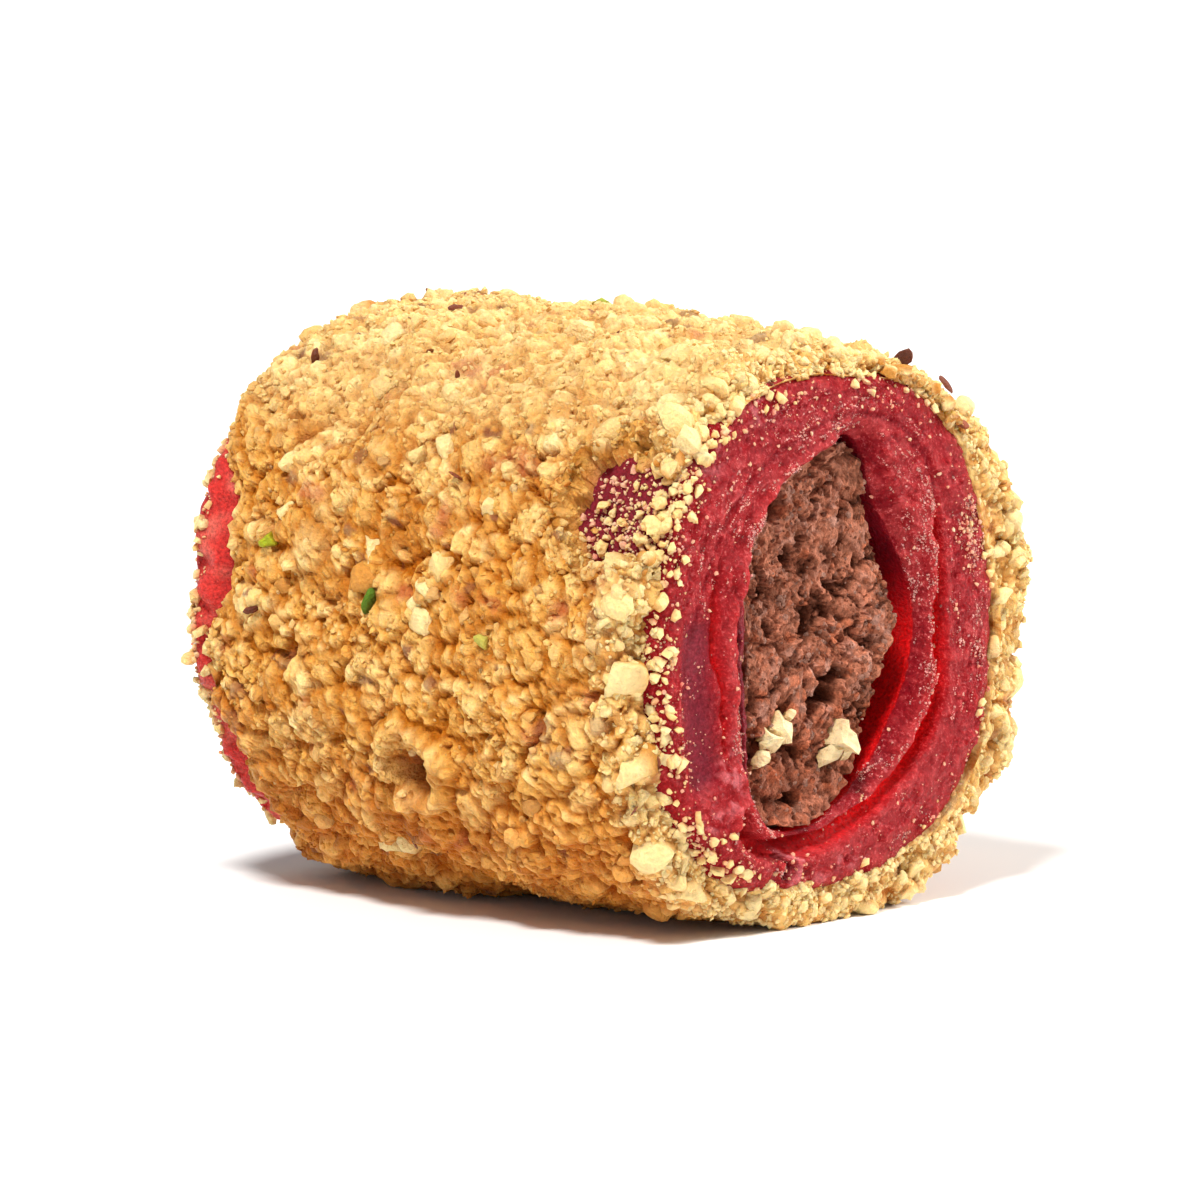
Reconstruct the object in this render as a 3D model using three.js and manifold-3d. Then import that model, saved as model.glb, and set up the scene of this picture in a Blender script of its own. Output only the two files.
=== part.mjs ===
// A roll of turkish delight, lying on its side: a sheet of red fruit jelly wound round a core of chocolate
// fudge, coated with crushed nuts and cut across at both ends. Millimetres, X along the roll with +X at the
// end that faces the viewer, Z up, origin on the table under the middle of the roll.
import * as THREE from "three";
import { mergeVertices } from "three/addons/utils/BufferGeometryUtils.js";
import Module from "manifold-3d";

const wasm = await Module();
wasm.setup();

// Jelly: the section is a superellipse, 2 being a true ellipse and more being squarer
const JELLY_LENGTH = 33.4;
const JELLY_HALF_WIDTH = 13.9;
const JELLY_HALF_HEIGHT = 14.4;
const JELLY_SQUARENESS = 2.45;
const JELLY_EDGE_ROUND = 1.3;
const JELLY_FACE_BULGE = 0.5;
const JELLY_SECTORS = 44;

// Seam between the turns of the wound sheet, open for a little way in from each cut
const SEAM_WIDTH = 0.55;
const SEAM_DEPTH = 2.6;
const SEAM_STEPS = 36;

// Fudge core, a tall lens in section: its radius at even steps round from +Y, through the top that leans to
// +Y, the flatter left side, and the heavy lower left
const CORE_RADII = [
  5.9, 5.85, 6.0, 6.5, 7.8, 10.4, 9.6, 9.05, 8.65, 8.1, 7.45, 6.95, 6.65, 6.75, 7.3, 8.6, 10.5, 10.8, 10.1,
  8.9, 7.6, 6.35, 6.1, 6.05,
];
const CORE_RECESS = 0.2;
const CORE_ROUGHNESS = 0.9;
const CORE_SECTORS = 40;

// Pieces of nut in the fudge that show on its near face, as across, up and radius
const CORE_NUTS = [
  [-3.6, -5.2, 0.95],
  [1.4, -6.5, 1.15],
  [-3.5, -6.9, 0.55],
];

// Pocket round the core, wider on the +Y side where the sheet has come away from the fudge
const FIT_GAP = 0.3;
const POCKET_OPEN = 1.75;
const POCKET_OPEN_ANGLE = 0.0;
const POCKET_OPEN_SPREAD = 0.95;

// Nut coating: a shell whose outside is crumbs and low lumps, thicker at the sides and most on the +Y one
const COAT_LENGTH = 32.2;
const COAT_SHIFT = 0.5;
const COAT_THICK_SIDE = 2.8;
const COAT_THICK_TOP = 1.8;
const COAT_ASIDE = 0.6;
const COAT_LUMP = 0.45;
const COAT_CRUMB = 1.0;
const COAT_EDGE_ROUND = 1.8;
const COAT_SECTORS = 80;
const COAT_STATIONS = 33;
const REST_DEPTH = 1.6;

// Where the far end of the coating has come off the jelly, as angle round the roll, spread and depth
const WORN_ANGLE = 3.15;
const WORN_SPREAD = 0.62;
const WORN_DEPTH = 2.0;

// Larger pieces of nut that stand on the coating, the largest first
const NUT_SIZES = [
  { count: 6, least: 1.6, most: 2.0 },
  { count: 26, least: 1.0, most: 1.4 },
];

// The largest pieces of nut, at the near rim beside the cut face, as angle round the roll and radius
const RIM_NUTS = [
  [3.22, 2.1],
  [3.72, 2.0],
  [4.02, 1.7],
];
const SEED = 41;

// Place where the coating is missing, beside the cut end: angle round the roll, distance along it, and size
const BARE_ANGLE = 2.6;
const BARE_X = 14.8;
const BARE_RADII = [5.8, 4.4, 4.0];

// Crumbs on the jelly itself: at the bare place, as steps along and round it, and on the cut faces
const BARE_CRUMBS = [
  [-1.6, 0.05, 1.0],
  [-0.2, -0.12, 1.2],
  [0.4, 0.08, 0.8],
  [-3.2, -0.02, 0.75],
];
const FACE_CRUMBS = 8;

const AXIS_HEIGHT = JELLY_HALF_HEIGHT + REST_DEPTH;
const FULL_TURN = 2 * Math.PI;

const jellyRed = new THREE.MeshStandardMaterial({ color: 0x8c1626, roughness: 0.35, metalness: 0 });
const fudgeBrown = new THREE.MeshStandardMaterial({ color: 0x4a2a20, roughness: 0.75, metalness: 0 });
const nutGold = new THREE.MeshStandardMaterial({ color: 0xdba862, roughness: 0.8, metalness: 0 });

// Repeatable random numbers from 0 to 1
function randomSource(seed) {
  let state = seed;
  return () => {
    state = (state * 1664525 + 1013904223) % 4294967296;
    return state / 4294967296;
  };
}

// Smooth lumps from -1 to 1, from waves that don't repeat together
function lumps(x, y, z, scale) {
  const [a, b, c] = [x * scale, y * scale, z * scale];
  const wave = Math.sin(a + 1.7 * b) + Math.sin(1.3 * b - 0.8 * c + 2.1) + Math.sin(1.9 * c - 1.1 * a + 0.6);
  return wave / 3;
}

// Distance from the middle of a superellipse to its edge in the direction of an angle
function ovalRadius(angle, halfWidth, halfHeight, squareness) {
  const across = Math.abs(Math.cos(angle) / halfWidth) ** squareness;
  const upright = Math.abs(Math.sin(angle) / halfHeight) ** squareness;
  return (across + upright) ** (-1 / squareness);
}

function jellyRadius(angle) {
  return ovalRadius(angle, JELLY_HALF_WIDTH, JELLY_HALF_HEIGHT, JELLY_SQUARENESS);
}

// Radius of the core, on a smooth curve through its stated radii
function coreRadius(angle) {
  const steps = CORE_RADII.length;
  const place = ((((angle / FULL_TURN) % 1) + 1) % 1) * steps;
  const first = Math.floor(place);
  const [before, from, to, after] = [-1, 0, 1, 2].map((i) => CORE_RADII[(first + i + steps) % steps]);
  const t = place - first;
  const slopeFrom = (to - before) / 2;
  const slopeTo = (after - from) / 2;
  const cube = 2 * from - 2 * to + slopeFrom + slopeTo;
  const square = 3 * to - 3 * from - 2 * slopeFrom - slopeTo;
  return ((cube * t + square) * t + slopeFrom) * t + from;
}

function angleFrom(angle, middle) {
  return Math.atan2(Math.sin(angle - middle), Math.cos(angle - middle));
}

function pocketRadius(angle) {
  const away = angleFrom(angle, POCKET_OPEN_ANGLE) / POCKET_OPEN_SPREAD;
  return coreRadius(angle) + FIT_GAP + POCKET_OPEN * Math.exp(-(away ** 4));
}

// A point at a distance and angle from a line along the roll
function around(x, radius, angle, height) {
  return new THREE.Vector3(x, radius * Math.cos(angle), height + radius * Math.sin(angle));
}

// Closed geometry from rings of points joined in order, either end to end or capped by two poles
function ringGeometry(rings, poles) {
  const sectors = rings[0].length;
  const points = rings.flat();
  const faces = [];
  const joins = poles ? rings.length - 1 : rings.length;
  for (let row = 0; row < joins; row += 1) {
    for (let sector = 0; sector < sectors; sector += 1) {
      const next = (sector + 1) % sectors;
      const here = row * sectors;
      const there = ((row + 1) % rings.length) * sectors;
      faces.push(here + sector, here + next, there + next);
      faces.push(here + sector, there + next, there + sector);
    }
  }
  if (poles) {
    const last = (rings.length - 1) * sectors;
    const first = points.push(poles[0]) - 1;
    const end = points.push(poles[1]) - 1;
    for (let sector = 0; sector < sectors; sector += 1) {
      const next = (sector + 1) % sectors;
      faces.push(first, next, sector);
      faces.push(end, last + sector, last + next);
    }
  }
  return new THREE.BufferGeometry().setFromPoints(points).setIndex(faces);
}

function ring(sectors, place) {
  return Array.from({ length: sectors }, (_, sector) => place((sector / sectors) * FULL_TURN));
}

// A three.js geometry as a manifold solid, turned the right way out
function toSolid(geometry) {
  const loose = geometry.index ? geometry.toNonIndexed() : geometry;
  const bare = new THREE.BufferGeometry().setAttribute("position", loose.getAttribute("position"));
  const merged = mergeVertices(bare, 1e-4);
  const triVerts = new Uint32Array(merged.index.array);
  const made = () =>
    new wasm.Manifold(
      new wasm.Mesh({ numProp: 3, vertProperties: merged.attributes.position.array, triVerts }),
    );
  const solid = made();
  if (solid.volume() > 0) return solid;
  for (let i = 0; i < triVerts.length; i += 3) {
    [triVerts[i + 1], triVerts[i + 2]] = [triVerts[i + 2], triVerts[i + 1]];
  }
  return made();
}

function toMesh(name, solid, material) {
  const { vertProperties, triVerts } = solid.getMesh();
  const geometry = new THREE.BufferGeometry();
  geometry.setAttribute("position", new THREE.BufferAttribute(new Float32Array(vertProperties), 3));
  geometry.setIndex(new THREE.BufferAttribute(new Uint32Array(triVerts), 1));
  geometry.computeVertexNormals();
  const mesh = new THREE.Mesh(geometry, material);
  mesh.name = name;
  return mesh;
}

// A faceted lump of about unit size with every corner pulled in or out a little
function raggedLump(detail, random) {
  const even = new THREE.IcosahedronGeometry(1, detail);
  const bare = new THREE.BufferGeometry().setAttribute("position", even.getAttribute("position"));
  const lump = mergeVertices(bare, 1e-4);
  const corners = lump.getAttribute("position");
  for (let i = 0; i < corners.count; i += 1) {
    const pull = 0.8 + 0.35 * random();
    corners.setXYZ(i, corners.getX(i) * pull, corners.getY(i) * pull, corners.getZ(i) * pull);
  }
  return lump;
}

// One piece of crushed nut, a little flat, lying at any angle
function nutPiece(radius, at, random) {
  const piece = raggedLump(0, random).scale(radius, 0.85 * radius, radius);
  piece.rotateX(FULL_TURN * random());
  piece.rotateY(FULL_TURN * random());
  piece.rotateZ(FULL_TURN * random());
  piece.translate(at.x, at.y, at.z);
  return toSolid(piece);
}

function evenSteps(from, to, count) {
  return Array.from({ length: count + 1 }, (_, i) => from + ((to - from) * i) / count);
}

// The wound sheet's seam in the section, as points across and up: from the outer end of the sheet at lower
// left, over the top, down the right, under the core and up its left side
const seamLine = new THREE.SplineCurve(
  [
    [-10.6, -8.4],
    [-11.2, -2.0],
    [-9.6, 4.6],
    [-4.6, 9.6],
    [0.8, 11.6],
    [5.2, 11.0],
    [8.2, 7.6],
    [9.4, 2.4],
    [9.5, -3.6],
    [5.4, -9.2],
    [-0.8, -12.1],
    [-5.4, -12.6],
    [-8.3, -10.6],
    [-8.8, -7.0],
    [-8.5, -2.4],
  ].map(([across, up]) => new THREE.Vector2(across, up)),
);

// A thin ribbon along the seam, tapered to a point at its two ends, that cuts the groove in an end face
function seamCutter(x, length) {
  const sides = [[], []];
  for (let i = 0; i <= SEAM_STEPS; i += 1) {
    const along = i / SEAM_STEPS;
    const middle = seamLine.getPoint(along);
    const heading = seamLine.getTangent(along);
    const half = (SEAM_WIDTH / 2) * Math.sin(Math.PI * along) ** 0.4 + 0.02;
    sides[0].push(new THREE.Vector2(middle.x - heading.y * half, middle.y + heading.x * half));
    sides[1].unshift(new THREE.Vector2(middle.x + heading.y * half, middle.y - heading.x * half));
  }
  const ribbon = new THREE.ExtrudeGeometry(new THREE.Shape(sides.flat()), {
    depth: length,
    bevelEnabled: false,
  });
  const alongRoll = new THREE.Matrix4().makeBasis(
    new THREE.Vector3(0, 1, 0),
    new THREE.Vector3(0, 0, 1),
    new THREE.Vector3(1, 0, 0),
  );
  ribbon.applyMatrix4(alongRoll).translate(x, 0, AXIS_HEIGHT);
  return toSolid(ribbon);
}

// Crumbs that stick to the jelly where the coating is missing, and to its cut face
function jellyCrumbs(random) {
  const crumbs = BARE_CRUMBS.map(([step, turn, radius]) => {
    const angle = BARE_ANGLE + turn;
    return nutPiece(radius, around(BARE_X + step, jellyRadius(angle) + 0.25, angle, AXIS_HEIGHT), random);
  });
  for (let i = 0; i < FACE_CRUMBS; i += 1) {
    const angle = 1.9 + (4.2 * (i + 0.6 * random())) / FACE_CRUMBS;
    const radius = 0.45 + 0.3 * random();
    const from = jellyRadius(angle) - 1.1 - 0.8 * random();
    crumbs.push(nutPiece(radius, around(JELLY_LENGTH / 2 + 0.25, from, angle, AXIS_HEIGHT), random));
  }
  return crumbs;
}

// The jelly sheet: a thick wall from the outside round each cut edge, over the end face and along the pocket
function jellySolid(random) {
  const end = JELLY_LENGTH / 2;
  const inner = end - JELLY_EDGE_ROUND;
  const face = (side) =>
    [0.8, 0.55, 0.3, 0.1].map((share) => ({ share, x: side * (end + JELLY_FACE_BULGE * share) }));
  const roundedEdge = (side) =>
    [0, 0.5, 1].map((turn) => ({
      share: 1 - 0.1 * (1 - Math.cos((turn * Math.PI) / 2)),
      x: side * (end - JELLY_EDGE_ROUND * (1 - Math.sin((turn * Math.PI) / 2))),
    }));
  const wall = (share, from, to) => evenSteps(from, to, 3).map((x) => ({ share, x }));
  const outline = [
    ...wall(1, -inner, inner).slice(0, -1),
    ...roundedEdge(1),
    ...face(1),
    ...wall(0, end - 0.4, 0.4 - end),
    ...face(-1).reverse(),
    ...roundedEdge(-1).reverse().slice(0, -1),
  ];
  const rings = outline.map(({ share, x }) =>
    ring(JELLY_SECTORS, (angle) => {
      const inside = pocketRadius(angle);
      const radius = inside + (jellyRadius(angle) - inside) * share;
      const onFace = Math.abs(x) > end - JELLY_EDGE_ROUND / 2 ? 0.18 : 0;
      return around(x + onFace * lumps(radius, 3 * angle, x, 0.5), radius, angle, AXIS_HEIGHT);
    }),
  );
  const grooves = [seamCutter(end - SEAM_DEPTH, SEAM_DEPTH + 3), seamCutter(-end - 3, SEAM_DEPTH + 3)];
  const sheet = toSolid(ringGeometry(rings)).subtract(wasm.Manifold.union(grooves));
  return wasm.Manifold.union([sheet, ...jellyCrumbs(random)]);
}

// The fudge core, with crumbled faces where the knife went through
function coreSolid(random) {
  const end = JELLY_LENGTH / 2 - CORE_RECESS;
  const caps = [0.16, 0.34, 0.52, 0.7, 0.87];
  const stations = [
    ...caps.map((share) => ({ share, x: -end })),
    ...evenSteps(0.9 - end, end - 0.9, 6).map((x) => ({ share: 1, x })),
    ...caps.map((share) => ({ share, x: end })).reverse(),
  ];
  const crumbled = (point, share) => {
    const broad = lumps(point.x, point.y, point.z, 1.1) + 0.7 * lumps(point.z, point.x, point.y, 2.3);
    const low = CORE_ROUGHNESS * (0.5 + 0.3 * broad + 0.6 * share * (random() - 0.5));
    if (Math.abs(point.x) === end) point.x -= Math.sign(point.x) * low;
    return point;
  };
  const rings = stations.map(({ share, x }) =>
    ring(CORE_SECTORS, (angle) => {
      const chip = share === 1 ? 0.4 * random() : 0;
      return crumbled(around(x, share * coreRadius(angle) - chip, angle, AXIS_HEIGHT), share);
    }),
  );
  const poles = [-end, end].map((x) => crumbled(new THREE.Vector3(x, 0, AXIS_HEIGHT), 0));
  const nuts = CORE_NUTS.map(([across, up, radius]) =>
    nutPiece(radius, new THREE.Vector3(end - 0.2, across, AXIS_HEIGHT + up), random),
  );
  return wasm.Manifold.union([toSolid(ringGeometry(rings, poles)), ...nuts]);
}

// A point of the coating, whose middle lies a little to one side of the jelly's
function aroundCoat(x, radius, angle) {
  const point = around(x, radius, angle, AXIS_HEIGHT);
  point.y += COAT_ASIDE;
  return point;
}

// Place along the roll of a point of the coating, drawn back from the far end where it has come off
function alongCoat(station, angle) {
  const back = WORN_DEPTH * Math.exp(-((angleFrom(angle, WORN_ANGLE) / WORN_SPREAD) ** 4));
  const drawn = station < 0 ? station * (1 - (2 * back) / COAT_LENGTH) : station;
  return drawn + COAT_SHIFT;
}

function coatRadius(angle, x) {
  const place = around(x, JELLY_HALF_HEIGHT, angle, 0);
  const halfWidth = JELLY_HALF_WIDTH + COAT_THICK_SIDE;
  const oval = ovalRadius(angle, halfWidth, JELLY_HALF_HEIGHT + COAT_THICK_TOP, JELLY_SQUARENESS);
  return oval + COAT_LUMP * lumps(place.x, place.y, place.z, 0.45);
}

// The outside of the coating: one crumb to each point of a staggered net, every crumb at its own height
function coatShell(random) {
  const end = COAT_LENGTH / 2;
  const step = COAT_LENGTH / COAT_STATIONS;
  const stations = [-end, ...evenSteps(0.5 - end, end - 0.5, COAT_STATIONS), end];
  const rings = stations.map((station, row) =>
    ring(COAT_SECTORS, (even) => {
      const past = Math.max(0, Math.abs(station) - (end - COAT_EDGE_ROUND)) / COAT_EDGE_ROUND;
      const bevel = 0.9 * COAT_EDGE_ROUND * (1 - Math.sqrt(Math.max(0, 1 - 0.95 * past * past)));
      const half = (row % 2) * 0.5;
      const angle = even + ((half + 0.5 * (random() - 0.5)) * FULL_TURN) / COAT_SECTORS;
      const x = alongCoat(station, angle) + 0.5 * step * (random() - 0.5);
      const crumb = COAT_CRUMB * (random() - 0.4);
      return aroundCoat(x, coatRadius(angle, x) - bevel + crumb, angle);
    }),
  );
  const poles = [-end, end].map((x) => new THREE.Vector3(x + COAT_SHIFT, 0, AXIS_HEIGHT));
  return toSolid(ringGeometry(rings, poles));
}

// Larger pieces of nut, spread evenly, and those of the near rim
function coatNuts(random) {
  const pieces = [];
  let turn = 0;
  for (const { count, least, most } of NUT_SIZES) {
    for (let i = 0; i < count; i += 1) {
      turn += 1;
      const angle = FULL_TURN * ((turn * 0.7549 + 0.05 * random()) % 1);
      const x = alongCoat((COAT_LENGTH - 3) * (((turn * 0.3247) % 1) - 0.5), angle);
      const radius = least + (most - least) * random();
      const depth = coatRadius(angle, x) - radius * (0.25 + 0.3 * random());
      pieces.push(nutPiece(radius, aroundCoat(x, depth, angle), random));
    }
  }
  for (const [angle, radius] of RIM_NUTS) {
    const x = COAT_LENGTH / 2 + COAT_SHIFT - 0.9 * radius;
    const depth = coatRadius(angle, x) - 0.6 * radius;
    pieces.push(nutPiece(radius, aroundCoat(x, depth, angle), random));
  }
  return pieces;
}

// The coating: the shell bored out for the jelly, with a bare place and a flat underside to rest on
function coatingSolid(random) {
  const boreRings = [-JELLY_LENGTH, JELLY_LENGTH].map((x) =>
    ring(JELLY_SECTORS, (angle) => around(x, jellyRadius(angle) + FIT_GAP, angle, AXIS_HEIGHT)),
  );
  const borePoles = [-JELLY_LENGTH, JELLY_LENGTH].map((x) => new THREE.Vector3(x, 0, AXIS_HEIGHT));
  const bare = raggedLump(2, random).scale(...BARE_RADII).rotateX(BARE_ANGLE);
  const middleOfBare = around(BARE_X, jellyRadius(BARE_ANGLE) + 1, BARE_ANGLE, AXIS_HEIGHT);
  bare.translate(middleOfBare.x, middleOfBare.y, middleOfBare.z);
  const floor = new THREE.BoxGeometry(3 * JELLY_LENGTH, 3 * JELLY_LENGTH, JELLY_LENGTH);
  floor.translate(0, 0, -JELLY_LENGTH / 2);
  return wasm.Manifold.union([coatShell(random), ...coatNuts(random)])
    .subtract(toSolid(ringGeometry(boreRings, borePoles)))
    .subtract(toSolid(bare))
    .subtract(toSolid(floor));
}

const random = randomSource(SEED);
const pieces = [
  ["nut_coating", coatingSolid(random), nutGold],
  ["jelly_sheet", jellySolid(random), jellyRed],
  ["fudge_core", coreSolid(random), fudgeBrown],
];

// The crumbs stand out unevenly, so the roll is moved to put the origin under the middle of its outside
const whole = wasm.Manifold.union(pieces.map(([, solid]) => solid)).boundingBox();
const [middleX, middleY] = [0, 1].map((axis) => (whole.min[axis] + whole.max[axis]) / 2);
const roll = new THREE.Group();
for (const [name, solid, material] of pieces) {
  roll.add(toMesh(name, solid.translate([-middleX, -middleY, 0]), material));
}

export default roll;
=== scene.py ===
import math

import bmesh
import bpy
import numpy as np
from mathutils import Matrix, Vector


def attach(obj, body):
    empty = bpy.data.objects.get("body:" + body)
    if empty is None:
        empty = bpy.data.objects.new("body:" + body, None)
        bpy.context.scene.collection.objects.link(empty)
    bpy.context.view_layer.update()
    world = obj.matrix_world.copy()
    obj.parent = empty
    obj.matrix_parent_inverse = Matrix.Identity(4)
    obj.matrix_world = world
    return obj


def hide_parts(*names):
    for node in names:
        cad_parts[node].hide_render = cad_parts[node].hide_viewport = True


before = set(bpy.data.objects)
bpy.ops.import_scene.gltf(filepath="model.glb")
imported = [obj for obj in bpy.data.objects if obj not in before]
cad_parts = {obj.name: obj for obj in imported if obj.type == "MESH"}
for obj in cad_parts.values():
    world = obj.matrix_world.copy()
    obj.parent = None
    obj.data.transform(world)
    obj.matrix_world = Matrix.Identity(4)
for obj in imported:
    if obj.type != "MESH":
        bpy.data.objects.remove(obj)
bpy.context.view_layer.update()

# Camera: a long lens about half a metre away, a little above the table, turned so that the cut face and the
# side of the roll both show. The numbers come from the outline of the roll in the photograph.
VIEW_AZIMUTH = math.radians(42)
VIEW_ELEVATION = math.radians(8)
VIEW_DISTANCE = 0.55
VIEW_WIDTH = 0.066
VIEW_NEAREST, VIEW_FARTHEST = 0.01, 50
AIM = Vector((0.0002, -0.0004, 0.0162))

lens = bpy.data.cameras.new("lens")
lens.lens = lens.sensor_width * VIEW_DISTANCE / VIEW_WIDTH
lens.clip_start = VIEW_NEAREST
lens.clip_end = VIEW_FARTHEST
camera = bpy.data.objects.new("camera", lens)
bpy.context.collection.objects.link(camera)
back = Vector((
    math.sin(VIEW_AZIMUTH) * math.cos(VIEW_ELEVATION),
    -math.cos(VIEW_AZIMUTH) * math.cos(VIEW_ELEVATION),
    math.sin(VIEW_ELEVATION),
))
camera.location = AIM + VIEW_DISTANCE * back
camera.rotation_mode = "QUATERNION"
camera.rotation_quaternion = (-back).to_track_quat("-Z", "Y")
bpy.context.scene.camera = camera

# Ground and light: a matt white sheet under the roll, a white room all round it, and two soft lamps: one
# above the viewer that draws the small shadows between the crumbs, and one that lights the roll's right side.
ROOM_LIGHT = 0.37
ROOM_WHITE = (1.0, 1.0, 1.0, 1)
GROUND_HALF = 3
GROUND_WHITE = (0.9, 0.9, 0.9, 1)
LAMP_WHITE = (1.0, 0.985, 0.96)
LAMPS = [
    # name, watts, width and place
    ("soft_lamp", 60, 0.45, Vector((0.50, -1.10, 1.90))),
    ("side_lamp", 34, 0.8, Vector((0.65, 1.35, 0.85))),
]


def new_material(name, roughness):
    """A material of one shader, and that shader."""
    material = bpy.data.materials.new(name)
    material.use_nodes = True
    shader = material.node_tree.nodes["Principled BSDF"]
    shader.inputs["Roughness"].default_value = roughness
    return material, shader


bpy.context.scene.view_settings.view_transform = "Standard"
room = bpy.data.worlds.new("white_room")
room.use_nodes = True
room.node_tree.nodes["Background"].inputs["Color"].default_value = ROOM_WHITE
room.node_tree.nodes["Background"].inputs["Strength"].default_value = ROOM_LIGHT
bpy.context.scene.world = room

sheet_corners = [(x * GROUND_HALF, y * GROUND_HALF, 0) for x, y in ((-1, -1), (1, -1), (1, 1), (-1, 1))]
sheet_mesh = bpy.data.meshes.new("ground")
sheet_mesh.from_pydata(sheet_corners, [], [(0, 1, 2, 3)])
ground = bpy.data.objects.new("ground", sheet_mesh)
bpy.context.collection.objects.link(ground)
ground_white, shader = new_material("ground_white", roughness=0.8)
shader.inputs["Base Color"].default_value = GROUND_WHITE
sheet_mesh.materials.append(ground_white)

for name, watts, width, place in LAMPS:
    lamp_data = bpy.data.lights.new(name, "AREA")
    lamp_data.shape = "DISK"
    lamp_data.size = width
    lamp_data.energy = watts
    lamp_data.color = LAMP_WHITE
    lamp = bpy.data.objects.new(name, lamp_data)
    bpy.context.collection.objects.link(lamp)
    lamp.location = place
    lamp.rotation_mode = "QUATERNION"
    lamp.rotation_quaternion = (AIM - place).to_track_quat("-Z", "Y")
    lamp.visible_camera = False

# Fudge core: chocolate fudge pressed into a rod and rolled up in the jelly, so it is a lens in section with
# its top leaning to the right. The knife crumbles its ends, which are pitted, cracked and matt.
# The roll is drawn in millimetres, from its middle to half its length each way
MILLIMETRE = 0.001
ROLL_MIDDLE = (-0.26, -0.40, 16.0)
ROLL_HALF = 16.7
# How far the fudge stands past the jelly, and its radii all round, from the right over the top
CORE_PAST = 0.05
CORE_RADII = np.array([
    5.9, 5.85, 6.0, 6.5, 7.8, 10.4, 9.6, 9.05, 8.65, 8.1, 7.45, 6.95, 6.65, 6.75, 7.3, 8.6, 10.5, 10.8, 10.1,
    8.9, 7.6, 6.35, 6.1, 6.05,
])
CORE_SECTORS = 300
CORE_FACE_ROWS = 62
# How far along the rod its crumbled ends reach, and how far the knife tears them back on average. Then the
# width of what it tears them into.
CORE_END_LONG = 1.2
CORE_TORN = 0.72
FUDGE_CLUMP, FUDGE_PLATE, FUDGE_BIT, FUDGE_GRAIN = 3.2, 1.15, 0.95, 0.46
# Torn holes in the near face, as across, up, half width, half height and depth
CORE_HOLES = [
    (0.5, -3.5, 1.2, 0.9, 2.4), (1.5, -2.6, 0.8, 0.6, 1.5), (-0.5, -4.2, 0.7, 0.6, 1.6),
    (-3.6, 7.2, 0.8, 0.9, 1.6), (-2.4, 4.5, 0.6, 0.6, 1.5), (-0.3, 1.3, 0.25, 0.9, 1.2),
    (-2.2, -8.9, 0.9, 0.6, 1.4), (-2.5, -5.5, 0.7, 0.7, 1.3), (-5.3, -3.4, 0.5, 0.7, 1.0),
    (2.9, -0.4, 0.4, 0.5, 0.8), (-4.3, 2.4, 0.4, 0.5, 0.8), (3.3, 3.4, 0.4, 0.5, 0.8),
    (-1.6, 5.3, 0.4, 0.6, 1.1), (-0.2, -2.4, 0.5, 0.5, 1.2), (-1.6, -6.4, 0.6, 0.5, 1.3),
]
FUDGE = np.array([0.46, 0.162, 0.090])
FUDGE_LIGHT = np.array([0.58, 0.33, 0.26])
FUDGE_DARK = np.array([0.075, 0.013, 0.003])
FUDGE_RED = np.array([0.58, 0.16, 0.07])
LOW_FUDGE_SHADE = np.array([0.14, 0.22, 0.26])


def chance(cells, seed):
    """A repeatable random number from 0 to 1 for every whole-number place in cells."""
    x, y, z = (cells[..., i].astype(np.int64).astype(np.uint32) for i in range(3))
    mixed = x * np.uint32(374761393) + y * np.uint32(668265263) + z * np.uint32(1440662683)
    mixed += np.uint32((seed * 1274126177) % 4294967296)
    mixed = (mixed ^ (mixed >> np.uint32(13))) * np.uint32(1274126177)
    mixed = (mixed ^ (mixed >> np.uint32(15))) * np.uint32(2246822519)
    return ((mixed ^ (mixed >> np.uint32(16))) / 4294967296.0).astype(np.float64)


def swell(points, size, seed):
    """Smooth unevenness from -1 to 1, whose lumps are about size millimetres."""
    spot = points / size
    low = np.floor(spot)
    part = spot - low
    part = part * part * (3 - 2 * part)
    total = np.zeros(len(points))
    for corner in np.ndindex(2, 2, 2):
        weight = np.prod(np.where(np.array(corner) == 1, part, 1 - part), axis=1)
        total += weight * chance(low + np.array(corner), seed)
    return 2 * total - 1


def broken(points, size, seed, steps):
    """Unevenness at several sizes at once, each half as large and half as deep as the last."""
    return sum(swell(points, size / 2**step, seed + 7 * step) / 2**step for step in range(steps))


def seats_round(spot, seed):
    """The cells round each spot one by one, each with the random seat of the grain in it."""
    low = np.floor(spot)
    for step in np.ndindex(3, 3, 3):
        cell = low + np.array(step) - 1
        yield cell, cell + np.stack([chance(cell, seed + i) for i in (1, 2, 3)], axis=1)


def grains(points, size, seed):
    """Packed grains about size millimetres across: how domed the nearest is here, how far from a crack, and
    a random number of its own."""
    spot = points / size
    nearest, second, own = np.full(len(points), 9.0), np.full(len(points), 9.0), np.zeros(len(points))
    for cell, seat in seats_round(spot, seed):
        away = np.linalg.norm(spot - seat, axis=1)
        closer = away < nearest
        second = np.where(closer, nearest, np.minimum(second, away))
        own = np.where(closer, chance(cell, seed + 4), own)
        nearest = np.where(closer, away, nearest)
    dome = np.sqrt(np.clip(1 - (nearest / 0.85) ** 2, 0, 1))
    return dome, np.clip((second - nearest) / 0.5, 0, 1), own


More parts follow.
